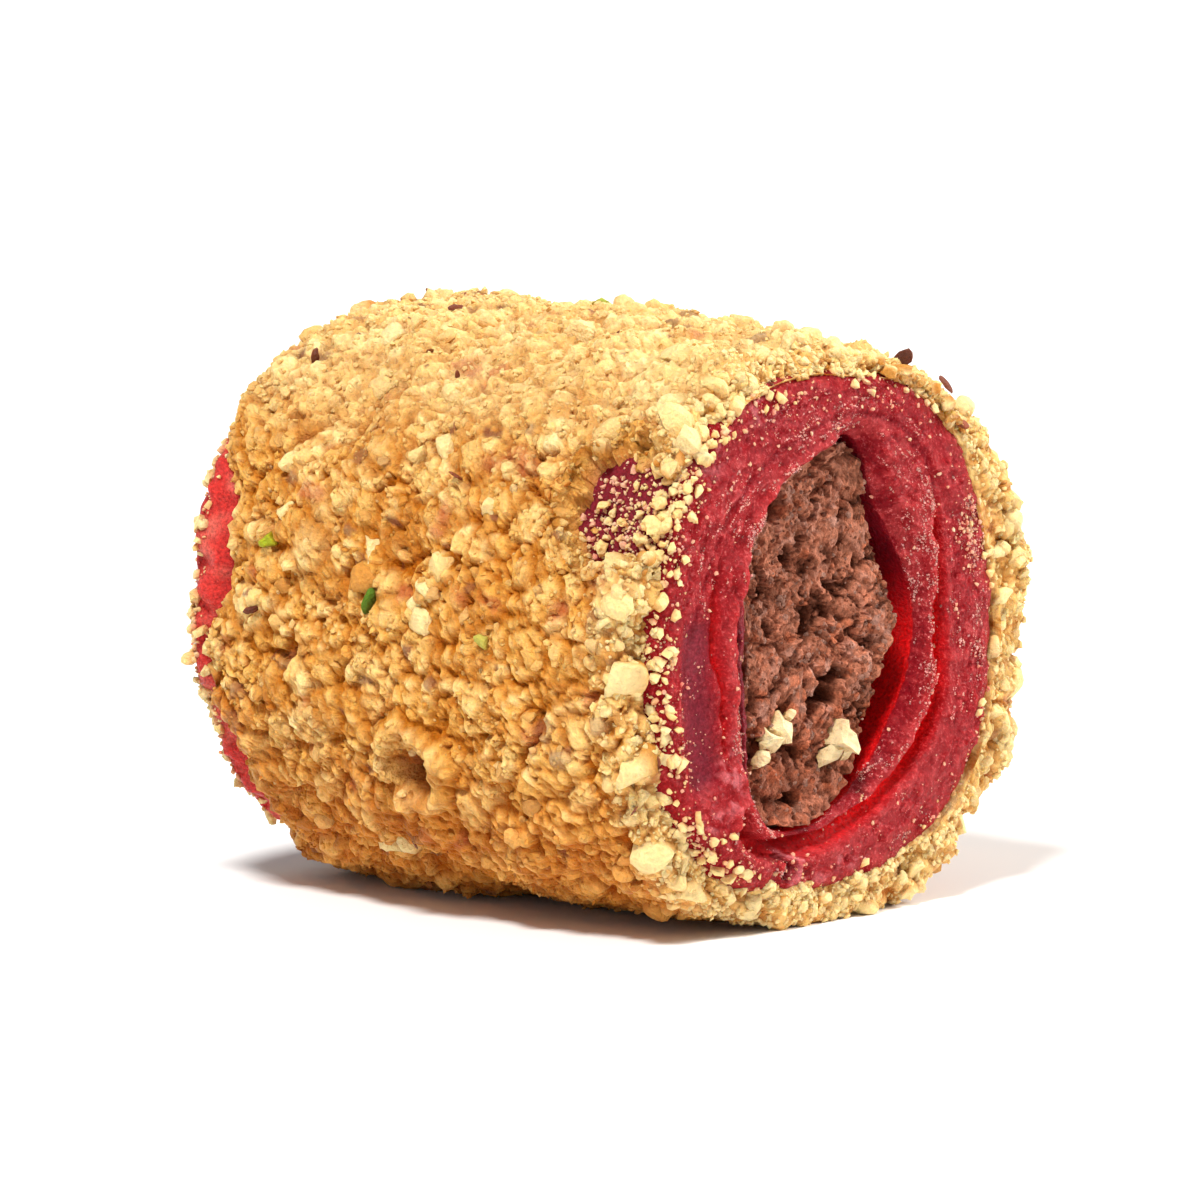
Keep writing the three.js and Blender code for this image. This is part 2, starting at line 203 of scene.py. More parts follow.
def domes(points, size, seed):
    """Packed round lumps about size millimetres across: how high the surface stands over the floor between
    them, 0 in the narrow crevices round each lump and 1 elsewhere, and a random number of the lump's own."""
    spot = points / size
    height, second, own = np.zeros(len(points)), np.zeros(len(points)), np.zeros(len(points))
    for cell, seat in seats_round(spot, seed):
        wide = 0.65 + 0.4 * chance(cell, seed + 5)
        rise = np.sqrt(np.clip(wide**2 - np.sum((spot - seat) ** 2, axis=1), 0, None))
        own = np.where(rise > height, chance(cell, seed + 4), own)
        second = np.where(rise > height, height, np.maximum(second, rise))
        height = np.maximum(height, rise)
    return height**0.7, np.clip((height - second) / 0.22, 0, 1), own


def ease(value, low, high):
    """0 below low, 1 above high and a smooth rise between."""
    part = np.clip((value - low) / (high - low), 0, 1)
    return part * part * (3 - 2 * part)


def hill(value, middle, wide, steep):
    """1 at the middle, falling away about wide to either side of it, the more sharply the larger steep is."""
    return np.exp(-(((value - middle) / wide) ** steep))


def uneven_shift(points, large, small, seeds):
    """A shift to every side for each point, made of large lumps and half as strong small ones."""
    return np.stack([
        swell(points, large, seeds[0] + i) + 0.5 * swell(points, small, seeds[1] + i) for i in range(3)
    ], axis=1)


def blend(tone, other, share):
    """Colours moved toward another colour by a share of their own each."""
    return tone + (other - tone) * np.asarray(share)[:, None]


def painted(tone, coats):
    """Colours painted over one another, each coat of paint as its colour and its share at every point."""
    for colour, share in coats:
        tone = blend(tone, colour, share)
    return tone


def between(before, start, stop, after, part):
    """A place on the smooth curve from start to stop, part of the way along."""
    rise, fall = (stop - before) / 2, (after - start) / 2
    cube = 2 * start - 2 * stop + rise + fall
    square = 3 * stop - 3 * start - 2 * rise - fall
    return ((cube * part + square) * part + rise) * part + start


def core_radius(angle):
    """Radius of the fudge in its section, on a smooth curve through its stated radii."""
    place = (angle / (2 * math.pi)) % 1 * len(CORE_RADII)
    first = np.floor(place).astype(int)
    near_radii = [CORE_RADII[(first + i) % len(CORE_RADII)] for i in (-1, 0, 1, 2)]
    return between(*near_radii, place - first)


def make_piece(name, points, faces, material, tone, node, smooth=True):
    """One mesh of points in millimetres, a colour for every point, that stands for a node."""
    mesh = bpy.data.meshes.new(name)
    mesh.from_pydata((points * MILLIMETRE).tolist(), [], faces.tolist())
    mesh.polygons.foreach_set("use_smooth", [smooth] * len(mesh.polygons))
    layer = mesh.color_attributes.new("tone", "FLOAT_COLOR", "POINT")
    if tone.shape[1] == 3:
        tone = np.hstack([tone, np.ones((len(tone), 1))])
    layer.data.foreach_set("color", np.clip(tone, 0, 1).ravel())
    mesh.materials.append(material)
    mesh.update()
    piece = bpy.data.objects.new(name, mesh)
    bpy.context.collection.objects.link(piece)
    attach(piece, "root")
    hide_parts(node)
    return piece


def normals_of(piece):
    """The direction each point of a mesh faces."""
    flat = np.empty(3 * len(piece.data.vertices))
    piece.data.vertices.foreach_get("normal", flat)
    return flat.reshape(-1, 3)


def join_rings(rows, sectors, loop):
    """Faces between rings of points, the last ring joined to the first where loop is true."""
    row, sector = np.meshgrid(np.arange(rows if loop else rows - 1), np.arange(sectors), indexing="ij")
    here, there = row * sectors, (row + 1) % rows * sectors
    after = (sector + 1) % sectors
    return np.stack([here + sector, here + after, there + after, there + sector], axis=-1).reshape(-1, 4)


def in_section(x, radius, angle, middle=ROLL_MIDDLE):
    """Points at a radius and angle from a middle line, the roll's own where none is named."""
    x = x + 0 * radius
    across, up = radius * np.cos(angle), radius * np.sin(angle)
    return np.stack([x + middle[0], across + middle[1], up + middle[2]], axis=-1)


def food_material(name, roughness, gloss, grain, shade, bump):
    """The piece's own colours, made lighter and darker by a fine grain that also roughens the surface."""
    material, shader = new_material(name, roughness)
    nodes, links = material.node_tree.nodes, material.node_tree.links
    colour = nodes.new("ShaderNodeVertexColor")
    colour.layer_name = "tone"
    place = nodes.new("ShaderNodeTexCoord")
    powder = nodes.new("ShaderNodeTexNoise")
    powder.inputs["Scale"].default_value = grain
    powder.inputs["Detail"].default_value = 4
    powder.inputs["Roughness"].default_value = 0.65
    links.new(place.outputs["Object"], powder.inputs["Vector"])
    lighter = nodes.new("ShaderNodeMapRange")
    lighter.inputs["From Min"].default_value = 0.3
    lighter.inputs["From Max"].default_value = 0.7
    lighter.inputs["To Min"].default_value = 1 - shade
    lighter.inputs["To Max"].default_value = 1 + shade
    links.new(powder.outputs["Fac"], lighter.inputs["Value"])
    scaled = nodes.new("ShaderNodeVectorMath")
    scaled.operation = "SCALE"
    links.new(colour.outputs["Color"], scaled.inputs[0])
    links.new(lighter.outputs["Result"], scaled.inputs["Scale"])
    links.new(scaled.outputs["Vector"], shader.inputs["Base Color"])
    relief = nodes.new("ShaderNodeBump")
    relief.inputs["Strength"].default_value = 0.8
    relief.inputs["Distance"].default_value = bump
    links.new(powder.outputs["Fac"], relief.inputs["Height"])
    links.new(relief.outputs["Normal"], shader.inputs["Normal"])
    shader.inputs["Specular IOR Level"].default_value = gloss
    return material


# Rings of points over the far end, along the side and over the near end. Those of an end start just off its
# middle and lie closer toward its rim.
angle = np.linspace(0, 2 * math.pi, CORE_SECTORS, endpoint=False)
core_end = ROLL_HALF + CORE_PAST
face_share = np.linspace(0.001, 1, CORE_FACE_ROWS) ** 0.8
side_rows = [(0.2, 4, 14), (6, 2 * core_end - 6, 4), (2 * core_end - 4, 2 * core_end - 0.2, 14)]
side_x = np.concatenate([np.linspace(*stretch) for stretch in side_rows]) - core_end
shares = np.concatenate([face_share, np.ones(len(side_x)), face_share[::-1]])
stations = np.concatenate([np.full(CORE_FACE_ROWS, -core_end), side_x, np.full(CORE_FACE_ROWS, core_end)])
points = in_section(stations[:, None], shares[:, None] * core_radius(angle), angle).reshape(-1, 3)
station = np.repeat(stations, CORE_SECTORS)
share = np.repeat(shares, CORE_SECTORS)
section = points - np.array(ROLL_MIDDLE)
across, up = section[:, 1], section[:, 2]
on_end = ease(np.abs(station), core_end - CORE_END_LONG, core_end)

# How far back each point of the ends is torn: by clumps, plates, bits and grains, cracks and holes
bent = points + 0.5 * uneven_shift(points, 0.9, 0.35, (90, 95))
_, clump_crack, clump_own = grains(bent, FUDGE_CLUMP, 11)
bit, _, bit_own = domes(points + 0.5 * (bent - points), FUDGE_BIT, 21)
fine, _, fine_own = domes(points + 0.2 * (bent - points), FUDGE_GRAIN, 31)
_, plate_crack, plate_own = grains((points + 0.6 * (bent - points)) * np.array([1, 1, 0.65]), FUDGE_PLATE, 12)
torn = ease(broken(bent, 1.5, 46, 3), 0.6, 0.85)
depth = CORE_TORN + 0.24 * broken(points, 4.5, 41, 2) + 0.3 * (clump_own - 0.5)
depth += 0.2 * (plate_own - 0.5) + 0.22 * (1 - np.minimum(1, plate_crack * 3)) * ease(plate_own, 0.55, 0.7)
depth += 0.5 * (1 - np.minimum(1, clump_crack * 3)) * ease(clump_own, 0.4, 0.6) + 0.6 * torn
depth += 0.16 * broken(bent, 0.7, 43, 2)
depth -= 0.07 * bit * (0.5 + 0.5 * bit_own) + 0.2 * fine * (0.3 + 0.7 * fine_own)
depth -= 0.07 * swell(points, 0.33, 44)
near_face = (section[:, 0] > 0) * on_end
for hole_across, hole_up, wide, high, deep in CORE_HOLES:
    away = np.hypot((across - hole_across) / wide, (up - hole_up) / high)
    away += 0.45 * swell(points, 0.7, 51) + 0.2 * swell(points, 0.35, 52)
    depth += near_face * deep * (1 - ease(away, 0.4, 1.1))
depth *= on_end
points[:, 0] -= np.sign(station) * (depth - 0.16 * on_end)

# The rod's side, ragged all round and drawn in a little on the left
sides = ease(share, 0.88, 1.0)
ragged = 0.12 + 0.3 * (0.6 - bit) + 0.32 * np.clip(swell(points, 1.3, 61), -0.3, 1) + 0.16 * (0.5 - fine)
inward = section[:, 1:] / np.maximum(np.linalg.norm(section[:, 1:], axis=1), 1e-6)[:, None]
left_side = hill(np.arctan2(up, -across), -0.1, 0.5, 4)
points[:, 1:] -= inward * ((ragged + 0.55 * left_side) * sides)[:, None]

low_left = ease(up, -1.0, -4.0) * ease(across, 1.0, -1.5)
# Painted highlight on the pale grains where the end stands out, and painted shade in its deepest tears and
# holes
tone = painted(FUDGE * (0.75 + 0.5 * bit_own)[:, None], [
    (FUDGE_LIGHT, 0.7 * ease(fine_own, 0.5, 0.1) * ease(depth, 0.9, 0.2)),
    (FUDGE_RED, 0.6 * ease(fine_own + 0.1 * low_left, 0.88, 0.95)),
    (FUDGE_DARK, 0.88 * ease(depth, 0.75, 1.5)),
    (FUDGE_DARK, 0.5 * ease(swell(points, 0.7, 62) + 0.5 * swell(points, 0.3, 63), 0.55, 0.95)),
])
# Painted shade between the grains, on the lower part of the ends, and on the rod's side where the jelly
# shades it
tone *= (0.85 + 0.15 * ease(fine + bit, 0.3, 1.0))[:, None]
tone *= 1 - ease(up, -2.0, -6.0)[:, None] * LOW_FUDGE_SHADE
tone *= (1 - 0.6 * (1 - on_end))[:, None]

fudge_matt = food_material("fudge_matt", roughness=0.6, gloss=0.1, grain=4600, shade=0.5, bump=0.0005)
faces = join_rings(len(stations), CORE_SECTORS, False)[:, ::-1]
core = make_piece("fudge_core_cut", points, faces, fudge_matt, tone, "fudge_core", smooth=False)
core_points, core_ways, core_tone, core_on_end, core_depth = points, normals_of(core), tone, on_end, depth

# Nut bits in the fudge: crushed pale nut stirred into it before it was pressed, two larger bits and a few
# small ones showing where the knife went through.
BIT_PLACES = [
    # across, up, radius, how deep
    (-3.3, -4.9, 0.8, 0.4), (-3.9, -5.7, 0.75, 0.45), (-5.0, -6.5, 0.6, 0.35), (1.6, -6.0, 1.15, 0.5),
    (0.9, -6.9, 0.85, 0.45), (-2.5, -4.3, 0.4, 0.35), (-4.4, -5.2, 0.5, 0.4), (2.2, -6.8, 0.5, 0.4),
]
# Its breaks make a bit smaller than the ball it is cut from, so that ball is larger by this
BIT_BALL = 1.15
BIT_CREAM = np.array([0.98, 0.78, 0.44])
NUT_CREAM = np.array([0.95, 0.74, 0.37])
# Painted shade toward the foot of each nut bit, tinted like the fudge it sits in
SHADE_AT_BIT_FOOT = np.array([0.55, 0.35, 0.2])
# For each fineness of ball, how many flat breaks it has and how uneven it is between them
BREAKS = {1: (3, 0.10), 2: (4, 0.07), 3: (7, 0.03)}


def chipped(level, dice):
    """A ball broken as a nut breaks: flat where it split, rounded elsewhere, longer than it is thick."""
    ball = bmesh.new()
    bmesh.ops.create_icosphere(ball, subdivisions=level, radius=1)
    ball.verts.ensure_lookup_table()
    corners = np.array([vert.co[:] for vert in ball.verts])
    sides = np.array([[vert.index for vert in face.verts] for face in ball.faces])
    ball.free()
    cuts, uneven = BREAKS[level]
    for _ in range(cuts):
        toward = dice.normal(size=3)
        toward /= np.linalg.norm(toward)
        over = corners @ toward - dice.uniform(0.45, 0.8)
        corners = corners - np.clip(over, 0, None)[:, None] * toward
    corners = corners * (1 + 0.16 * swell(corners, 0.7, int(dice.integers(9999))))[:, None]
    corners = corners * (1 + uneven * dice.normal(size=(len(corners), 1)))
    return corners * np.array([1, dice.uniform(0.72, 0.95), dice.uniform(0.6, 0.88)]), sides


def jagged(level, dice):
    """A broken bit whose corners stick out unevenly."""
    corners, sides = chipped(level, dice)
    return corners * dice.uniform(0.75, 1.3, size=(len(corners), 1)), sides


def any_turn(count, dice):
    """Rotations to every side, one for each piece."""
    quarter = dice.normal(size=(count, 4))
    w, x, y, z = (quarter / np.linalg.norm(quarter, axis=1)[:, None]).T
    return np.stack([
        1 - 2 * (y * y + z * z), 2 * (x * y - z * w), 2 * (x * z + y * w),
        2 * (x * y + z * w), 1 - 2 * (x * x + z * z), 2 * (y * z - x * w),
        2 * (x * z - y * w), 2 * (y * z + x * w), 1 - 2 * (x * x + y * y),
    ], axis=1).reshape(-1, 3, 3)


def pile_up(shapes, places, ways, sizes, tints, foot_shade, dice):
    """Many lumps as one mesh: the points, the faces and the colour of each point, darkened toward the lump's
    foot by a painted shade tinted like what it sits in."""
    kind = dice.integers(len(shapes), size=len(places))
    turns = any_turn(len(places), dice)
    all_points, all_faces, all_tones, start = [], [], [], 0
    for number, (corners, sides) in enumerate(shapes):
        chosen = np.flatnonzero(kind == number)
        made = np.einsum("nij,vj->nvi", turns[chosen], corners)
        risen = ease(np.einsum("nvi,ni->nv", made, ways[chosen]), -0.45, 0.55)[:, :, None]
        tone = tints[chosen][:, None, :] * (foot_shade + (1 - foot_shade) * risen)
        made = made * sizes[chosen][:, None, None] + places[chosen][:, None, :]
        offsets = start + np.arange(len(chosen)) * len(corners)
        all_points.append(made.reshape(-1, 3))
        all_faces.append((sides[None] + offsets[:, None, None]).reshape(-1, 3))
        all_tones.append(tone.reshape(-1, 3))
        start += len(chosen) * len(corners)
    return np.vstack(all_points), np.vstack(all_faces), np.vstack(all_tones)


def let_light_in(material, share, colours, reach):
    """Lets a share of the light into a food for about reach metres, and red farther than green and blue."""
    shader = material.node_tree.nodes["Principled BSDF"]
    shader.inputs["Subsurface Weight"].default_value = share
    shader.inputs["Subsurface Radius"].default_value = colours
    shader.inputs["Subsurface Scale"].default_value = reach


dice = np.random.default_rng(5)
nut_flesh = food_material("nut_flesh", roughness=0.45, gloss=0.15, grain=3000, shade=0.16, bump=0.0005)
let_light_in(nut_flesh, share=0.25, colours=(1.0, 0.5, 0.2), reach=0.0005)
across, up, radii, sunk = np.array(BIT_PLACES).T
spots = np.column_stack([core_end + ROLL_MIDDLE[0] - sunk, across + ROLL_MIDDLE[1], up + ROLL_MIDDLE[2]])
ways = np.tile([1.0, 0, 0], (len(spots), 1))
tints = BIT_CREAM * (0.8 + 0.2 * dice.random((len(spots), 1)))
shapes = [jagged(2, dice) for _ in range(8)]
points, faces, tone = pile_up(shapes, spots, ways, BIT_BALL * radii, tints, SHADE_AT_BIT_FOOT, dice)
make_piece("nut_bits_in_fudge", points, faces, nut_flesh, tone, "fudge_core", smooth=False)

# Fudge crumbs: loose crumbs of the same chocolate fudge, torn up by the knife. They lie where they fell on
# both cut ends of the core, most of them on the grains that stand out.
FUDGE_CRUMBS = 2000
FUDGE_CRUMB_LEAST, FUDGE_CRUMB_ABOVE = 0.08, 0.22
FUDGE_CRUMBS_APART = 0.2
# Painted shade toward the foot of each fudge crumb
SHADE_AT_FUDGE_CRUMB_FOOT = np.array([0.6, 0.55, 0.5])


def seat_on(points, weight, count, apart, dice):
    """Chooses where pieces sit: at random by weight, with one at most in each cube that is apart wide."""
    able = int(np.count_nonzero(weight > 0))
    order = dice.choice(len(points), size=min(able, count * 5), replace=False, p=weight / weight.sum())
    taken, chosen = set(), []
    for number in order:
        cell = tuple((points[number] / apart).astype(int))
        if cell in taken:
            continue
        taken.add(cell)
        chosen.append(number)
        if len(chosen) == count:
            break
    return np.array(chosen)


def mixed_sizes(count, least, above, power, dice):
    """Radii from least to that and above more, with fewer large ones the higher the power."""
    return least + above * dice.random(count) ** power


on_cut, core_near = core_on_end > 0.95, core_points[:, 0] > 0
weight = on_cut * (0.25 + ease(swell(core_points, 1.6, 71), -0.2, 0.7)) * core_near
weight = weight + 0.35 * on_cut * ~core_near
weight = weight * (0.3 + 0.7 * ease(core_depth, 1.4, 0.6))
chosen = seat_on(core_points, weight, FUDGE_CRUMBS, FUDGE_CRUMBS_APART, dice)
sizes = mixed_sizes(len(chosen), FUDGE_CRUMB_LEAST, FUDGE_CRUMB_ABOVE, 2.4, dice)
spots = core_points[chosen] + core_ways[chosen] * (0.15 * sizes)[:, None]
picked = dice.random(len(chosen))
tints = painted(FUDGE, [
    (FUDGE_LIGHT, ease(picked, 0.5, 0.8)),
    (FUDGE_RED, 0.9 * (picked > 0.93)),
    (FUDGE_DARK, 0.7 * (picked < 0.15)),
    (core_tone[chosen], 0.3 * dice.random(len(chosen))),
])
shapes = [chipped(1, dice) for _ in range(16)]
points, faces, tone = pile_up(shapes, spots, core_ways[chosen], sizes, tints, SHADE_AT_FUDGE_CRUMB_FOOT, dice)
make_piece("fudge_crumbs", points, faces, fudge_matt, tone, "fudge_core", smooth=False)

# Jelly sheet: a thick sheet of starch-set red fruit jelly, wound twice round the fudge and stuck to itself.
# Where the knife cut it, the turns show as bands with a slit between them, wet, grainy and see-through red.
JELLY_WIDE, JELLY_HIGH, JELLY_SQUARE = 13.9, 14.4, 2.45
# Radii of the rounded edge of each cut face and of the smaller one round the fudge
JELLY_EDGE, LIP = 1.3, 0.45
EDGE_ROWS, FACE_ROWS, LIP_ROWS = 10, 64, 6
JELLY_SECTORS = 420
FACE_BULGE = 0.5
# Rows of the outer and the inner wall as from, to and how many, with most of them where the wall shows
OUTER_ROWS = [(-15, -12, 7), (-10, 6, 5), (8, 15, 14)]
INNER_ROWS = [(0.5, 9.5, 16), (11.5, ROLL_HALF - LIP, 3)]
# Where the roll bulges on the low right, as angle and how far
BULGE_TURN, BULGE = -0.25, 0.6
# The gap round the fudge, how much wider it is on the right and on the upper right, and narrower on the left
POCKET_GAP = 0.22
RIGHT_GAP_TURN, RIGHT_GAP = -0.2, 1.95
UPPER_GAP_TURN, UPPER_GAP = 0.9, 0.55
SNUG_TURN, SNUG = 3.3, 0.45
# How deep that gap goes before the sheet begins to cling to the fudge, and how closely it then does
GAP_DEPTH, GAP_LEFT = 3.0, 0.06
# The seam between the turns as across and up: up the left, over the top, down the right and under the fudge.
# The rest are shares of its length: where it opens, where it widens and narrows again on the right, and
# where it widens under the fudge.
SEAM_LINE = [
    (-11.1, -6.6), (-11.7, -3.4), (-11.1, 0.2), (-9.8, 4.4), (-8.6, 7.1), (-6.4, 9.0), (-3.2, 10.6),
    (0.8, 11.7), (4.6, 11.2), (7.2, 9.5), (8.6, 7.0), (9.1, 3.4), (9.3, -0.8), (9.1, -4.2), (7.4, -6.9),
    (5.1, -8.9), (2.6, -10.3), (-0.4, -11.3), (-3.3, -11.5), (-5.6, -11.1), (-7.0, -10.2), (-7.3, -9.1),
]
SLIT_FROM = 0.47
RIGHT_WIDENS, RIGHT_NARROWS = (0.52, 0.6), (0.72, 0.8)
UNDER_WIDENS = (0.74, 0.86)
# The sunken band on the left of the near face, a third as deep at the far one
HOLLOW_LINE = [(-10.3, 3.2), (-10.7, 0.0), (-10.6, -3.0), (-10.2, -6.0), (-9.7, -7.8)]
FAR_HOLLOW = 0.35
# The crest that stands along the fudge on the left. Where a loose strip of skin lies there, the crest is
# farther out, and a slit and a fold run beside it: the strip's and the fold's angles, and how far from the
# fudge each of the four lies.
LEFT_TURN, STRIP_TURN, FOLD_TURN = math.radians(165), 3.45, 3.25
CREST_AT, CREST_FARTHER, SLIT_AT, FOLD_AT = 0.6, 1.3, 1.15, 2.75
# The rim of the far end that the coat has left bare, as distances from the middle, and the jelly squeezed
# out there, as its angle and distances
FAR_RIM = (13, 14.5)
SQUEEZED_TURN, SQUEEZED = 3.3, (12.8, 14.6)
BUBBLE = (-3.1, -12.6)
BUBBLE_RADIUS = 0.6
# Painted wet glints on the near face as across, up, half width and how much taller than wide
WET_GLINTS = [
    (-8.2, -7.3, 0.8, 2.2), (-9.6, -9.0, 0.6, 1.6), (-5.2, -12.9, 0.8, 0.7), (1.0, -12.8, 1.0, 0.7),
    (-1.2, -13.5, 0.8, 0.6), (-9.6, 10.4, 0.8, 1.2), (-5.5, 12.6, 1.1, 0.6), (4.6, -8.0, 0.8, 0.6),
]
# The middle of the crumbly stretch of the inner turn, at the upper right
CRUMBLY_TURN = 1.1
# The bare side of the jelly that is dark as wine: along the roll, angle round it, and half its size each way
WINE_X, WINE_TURN, WINE_LONG, WINE_ROUND = 14.6, 2.6, 4.5, 3.6
# The jelly's radius at its bare side, and the one at which lengths along its turns are measured
BARE_REACH, TURNS_REACH = 14.5, 14
JELLY = np.array([0.33, 0.007, 0.011])
JELLY_DEEP = np.array([0.22, 0.002, 0.008])
JELLY_PALE = np.array([0.56, 0.055, 0.057])
# Painted glow, as of light coming through the jelly
JELLY_GLOW = np.array([0.62, 0.003, 0.004])
JELLY_WINE = np.array([0.20, 0.018, 0.032])
# Painted wet glints
JELLY_GLINT = np.array([0.80, 0.24, 0.26])
JELLY_FAR = np.array([0.70, 0.05, 0.04])
# Painted highlights on the jelly at the bare far rim
JELLY_FAR_HIGHLIGHT = np.array([0.88, 0.28, 0.20])
FROST_PINK = (0.70, 0.20, 0.19, 1)


def turn_from(middle, angle):
    """How far an angle is from a middle one, the shorter way round."""
    return (angle - middle + math.pi) % (2 * math.pi) - math.pi


def oval_radius(angle, wide, high, square):
    """Radius of a squarish oval in its section."""
    return (np.abs(np.cos(angle) / wide) ** square + np.abs(np.sin(angle) / high) ** square) ** (-1 / square)


def jelly_radius(angle):
    """Radius of the wound jelly, a little fuller on the low right."""
    fuller = BULGE * hill(turn_from(BULGE_TURN, angle), 0, 0.6, 4)
    return oval_radius(angle, JELLY_WIDE, JELLY_HIGH, JELLY_SQUARE) + fuller


def pocket_radius(angle):
    """Where the jelly stops round the fudge, with a gap on the right where the sheet has come away."""
    right = RIGHT_GAP * hill(turn_from(RIGHT_GAP_TURN, angle), 0, 0.95, 4)
    upper = UPPER_GAP * hill(turn_from(UPPER_GAP_TURN, angle), 0, 0.33, 4)
    snug = SNUG * hill(angle % (2 * math.pi), SNUG_TURN, 0.6, 4)
    return core_radius(angle) + (POCKET_GAP + right + upper) - snug


def smooth_line(corners, steps):
    """Even points on a smooth curve through corners."""
    corners = np.array(corners, float)
    padded = np.vstack([2 * corners[0] - corners[1], corners, 2 * corners[-1] - corners[-2]])
    part = np.linspace(0, 1, steps, endpoint=False)[:, None]
    made = [between(*near_corners, part) for near_corners in zip(padded, padded[1:], padded[2:], padded[3:])]
    return np.vstack(made + [corners[-1:]])


def beside_line(spots, line):
    """How far each spot of the section is from a line, and how far along the line its nearest point is."""
    gap, along = np.full(len(spots), 99.0), np.zeros(len(spots))
    for number, point in enumerate(line):
        away = np.hypot(spots[:, 0] - point[0], spots[:, 1] - point[1])
        along = np.where(away < gap, number / (len(line) - 1), along)
        gap = np.minimum(gap, away)
    return gap, along


# Rings of points along the outer wall, over the near face, back through the pocket and over the far face
angle = np.linspace(0, 2 * math.pi, JELLY_SECTORS, endpoint=False)
outside, inside = jelly_radius(angle), pocket_radius(angle)
edge_rings = [
    (outside - JELLY_EDGE * (1 - math.cos(t)), ROLL_HALF - JELLY_EDGE * (1 - math.sin(t)))
    for t in np.linspace(0, math.pi / 2, EDGE_ROWS)
]
face_rings = [
    ((outside - JELLY_EDGE) * (1 - t) + (inside + LIP) * t, ROLL_HALF)
    for t in np.linspace(0, 1, FACE_ROWS + 2)[1:-1]
]
lip_rings = [
    (inside + LIP * (1 - math.sin(t)), ROLL_HALF - LIP * (1 - math.cos(t)))
    for t in np.linspace(0, math.pi / 2, LIP_ROWS)
]
near_rings = edge_rings + face_rings + lip_rings
wall_out = [(outside, x) for x in np.concatenate([np.linspace(*stretch) for stretch in OUTER_ROWS])]
stuck = core_radius(angle) + GAP_LEFT
wall_in = [
    (inside + (stuck - inside) * ease(depth, GAP_DEPTH, 3 * GAP_DEPTH), ROLL_HALF - LIP - depth)
    for depth in np.concatenate([np.linspace(*stretch) for stretch in INNER_ROWS])
]
wall_in_far = [(radius, -x) for radius, x in reversed(wall_in[:-1])]
far_rings = [(radius, -x) for radius, x in reversed(edge_rings + face_rings[1::2] + lip_rings)]
rings = wall_out + near_rings + wall_in + wall_in_far + far_rings
radius = np.stack([ring for ring, x in rings])
along = np.array([x for ring, x in rings])
points = in_section(along[:, None], radius, angle[None, :]).reshape(-1, 3)
section = points - np.array(ROLL_MIDDLE)
along, flat = section[:, 0], section[:, 1:]
across, up = section[:, 1], section[:, 2]
near_side = along > 0
on_face = ease(np.abs(along), ROLL_HALF - 0.9, ROLL_HALF - 0.05)
on_wall = 1 - on_face
far_rim = ease(-along, *FAR_RIM)
around = np.tile(angle, len(rings))
reach = np.hypot(across, up)
from_pocket = reach - np.tile(inside, len(rings))
from_outside = np.tile(outside, len(rings)) - reach

# What the knife laid open: the seam and its raised lips, the hollow band, the crest, slit and fold on the
# left, the bubble, and where wet glints are painted, each from 0 to 1
seam_gap, seam_at = beside_line(flat, smooth_line(SEAM_LINE, 12))
hollow_gap, hollow_at = beside_line(flat, smooth_line(HOLLOW_LINE, 12))
seam_across, seam_up = np.array(SEAM_LINE).T
seam_turn = np.unwrap(np.arctan2(seam_up, seam_across))[::-1]
seam_reach = np.hypot(seam_across, seam_up)[::-1]
past = (np.arctan2(up, across) - seam_turn[0]) % (2 * math.pi) + seam_turn[0]
inner = ease(np.interp(past, seam_turn, seam_reach) - reach, -0.1, 0.3)
seam_gap = seam_gap + 0.09 * swell(points, 0.8, 120)
slit = ease(seam_at, SLIT_FROM, SLIT_FROM + 0.06)
under = ease(seam_at, *UNDER_WIDENS)
on_right = ease(seam_at, *RIGHT_WIDENS) * (1 - ease(seam_at, *RIGHT_NARROWS))
half_wide = 0.02 + 0.19 * slit + 0.16 * under + 0.1 * on_right + 0.05 * swell(points, 2.0, 121)
half_wide = half_wide * ease(seam_at, 0.0, 0.03) * (1 - 0.7 * ease(seam_at, 0.97, 1.0))
groove = 1 - ease(seam_gap, half_wide, half_wide + 0.26)
lips = hill(seam_gap - half_wide, 0.5, 0.3, 2) * (0.3 + 0.7 * inner)
hollow_ends = ease(hollow_at, 0.0, 0.2) * (1 - ease(hollow_at, 0.85, 1.0))
hollow = hill(hollow_gap + 0.2 * swell(points, 1.4, 125), 0, 1.1, 4) * hollow_ends
hollow = hollow * np.where(near_side, 1, FAR_HOLLOW)
left_half = ease(np.cos(around - LEFT_TURN), -0.1, 0.45)
strip = hill(around, STRIP_TURN, 0.62, 6) * near_side
wander = 0.16 * swell(points, 2.2, 122) + 0.05 * swell(points, 0.7, 126)
crest = hill(from_pocket - CREST_AT - CREST_FARTHER * strip, wander, 0.4, 2) * left_half
inner_slit = hill(from_pocket - SLIT_AT, wander, 0.16, 2) * strip
inner_skin = (1 - ease(from_pocket, 1.0, 1.2)) * strip
fold = hill(from_pocket - FOLD_AT, wander, 0.24, 2) * hill(around, FOLD_TURN, 0.5, 6) * near_side
ramp = ease(from_pocket, 1.5, 0.0) * (1 - left_half)
layers = np.stack([around * TURNS_REACH / 3.0, from_outside, 0 * around], axis=1)
streaks = swell(layers, 0.45, 123) + 0.6 * swell(layers, 0.22, 124)
away = np.hypot(across - BUBBLE[0], up - BUBBLE[1])
bubble = hill(away, 0, BUBBLE_RADIUS, 4) * near_side
bubble_rim = hill(away, BUBBLE_RADIUS + 0.25, 0.18, 2) * near_side
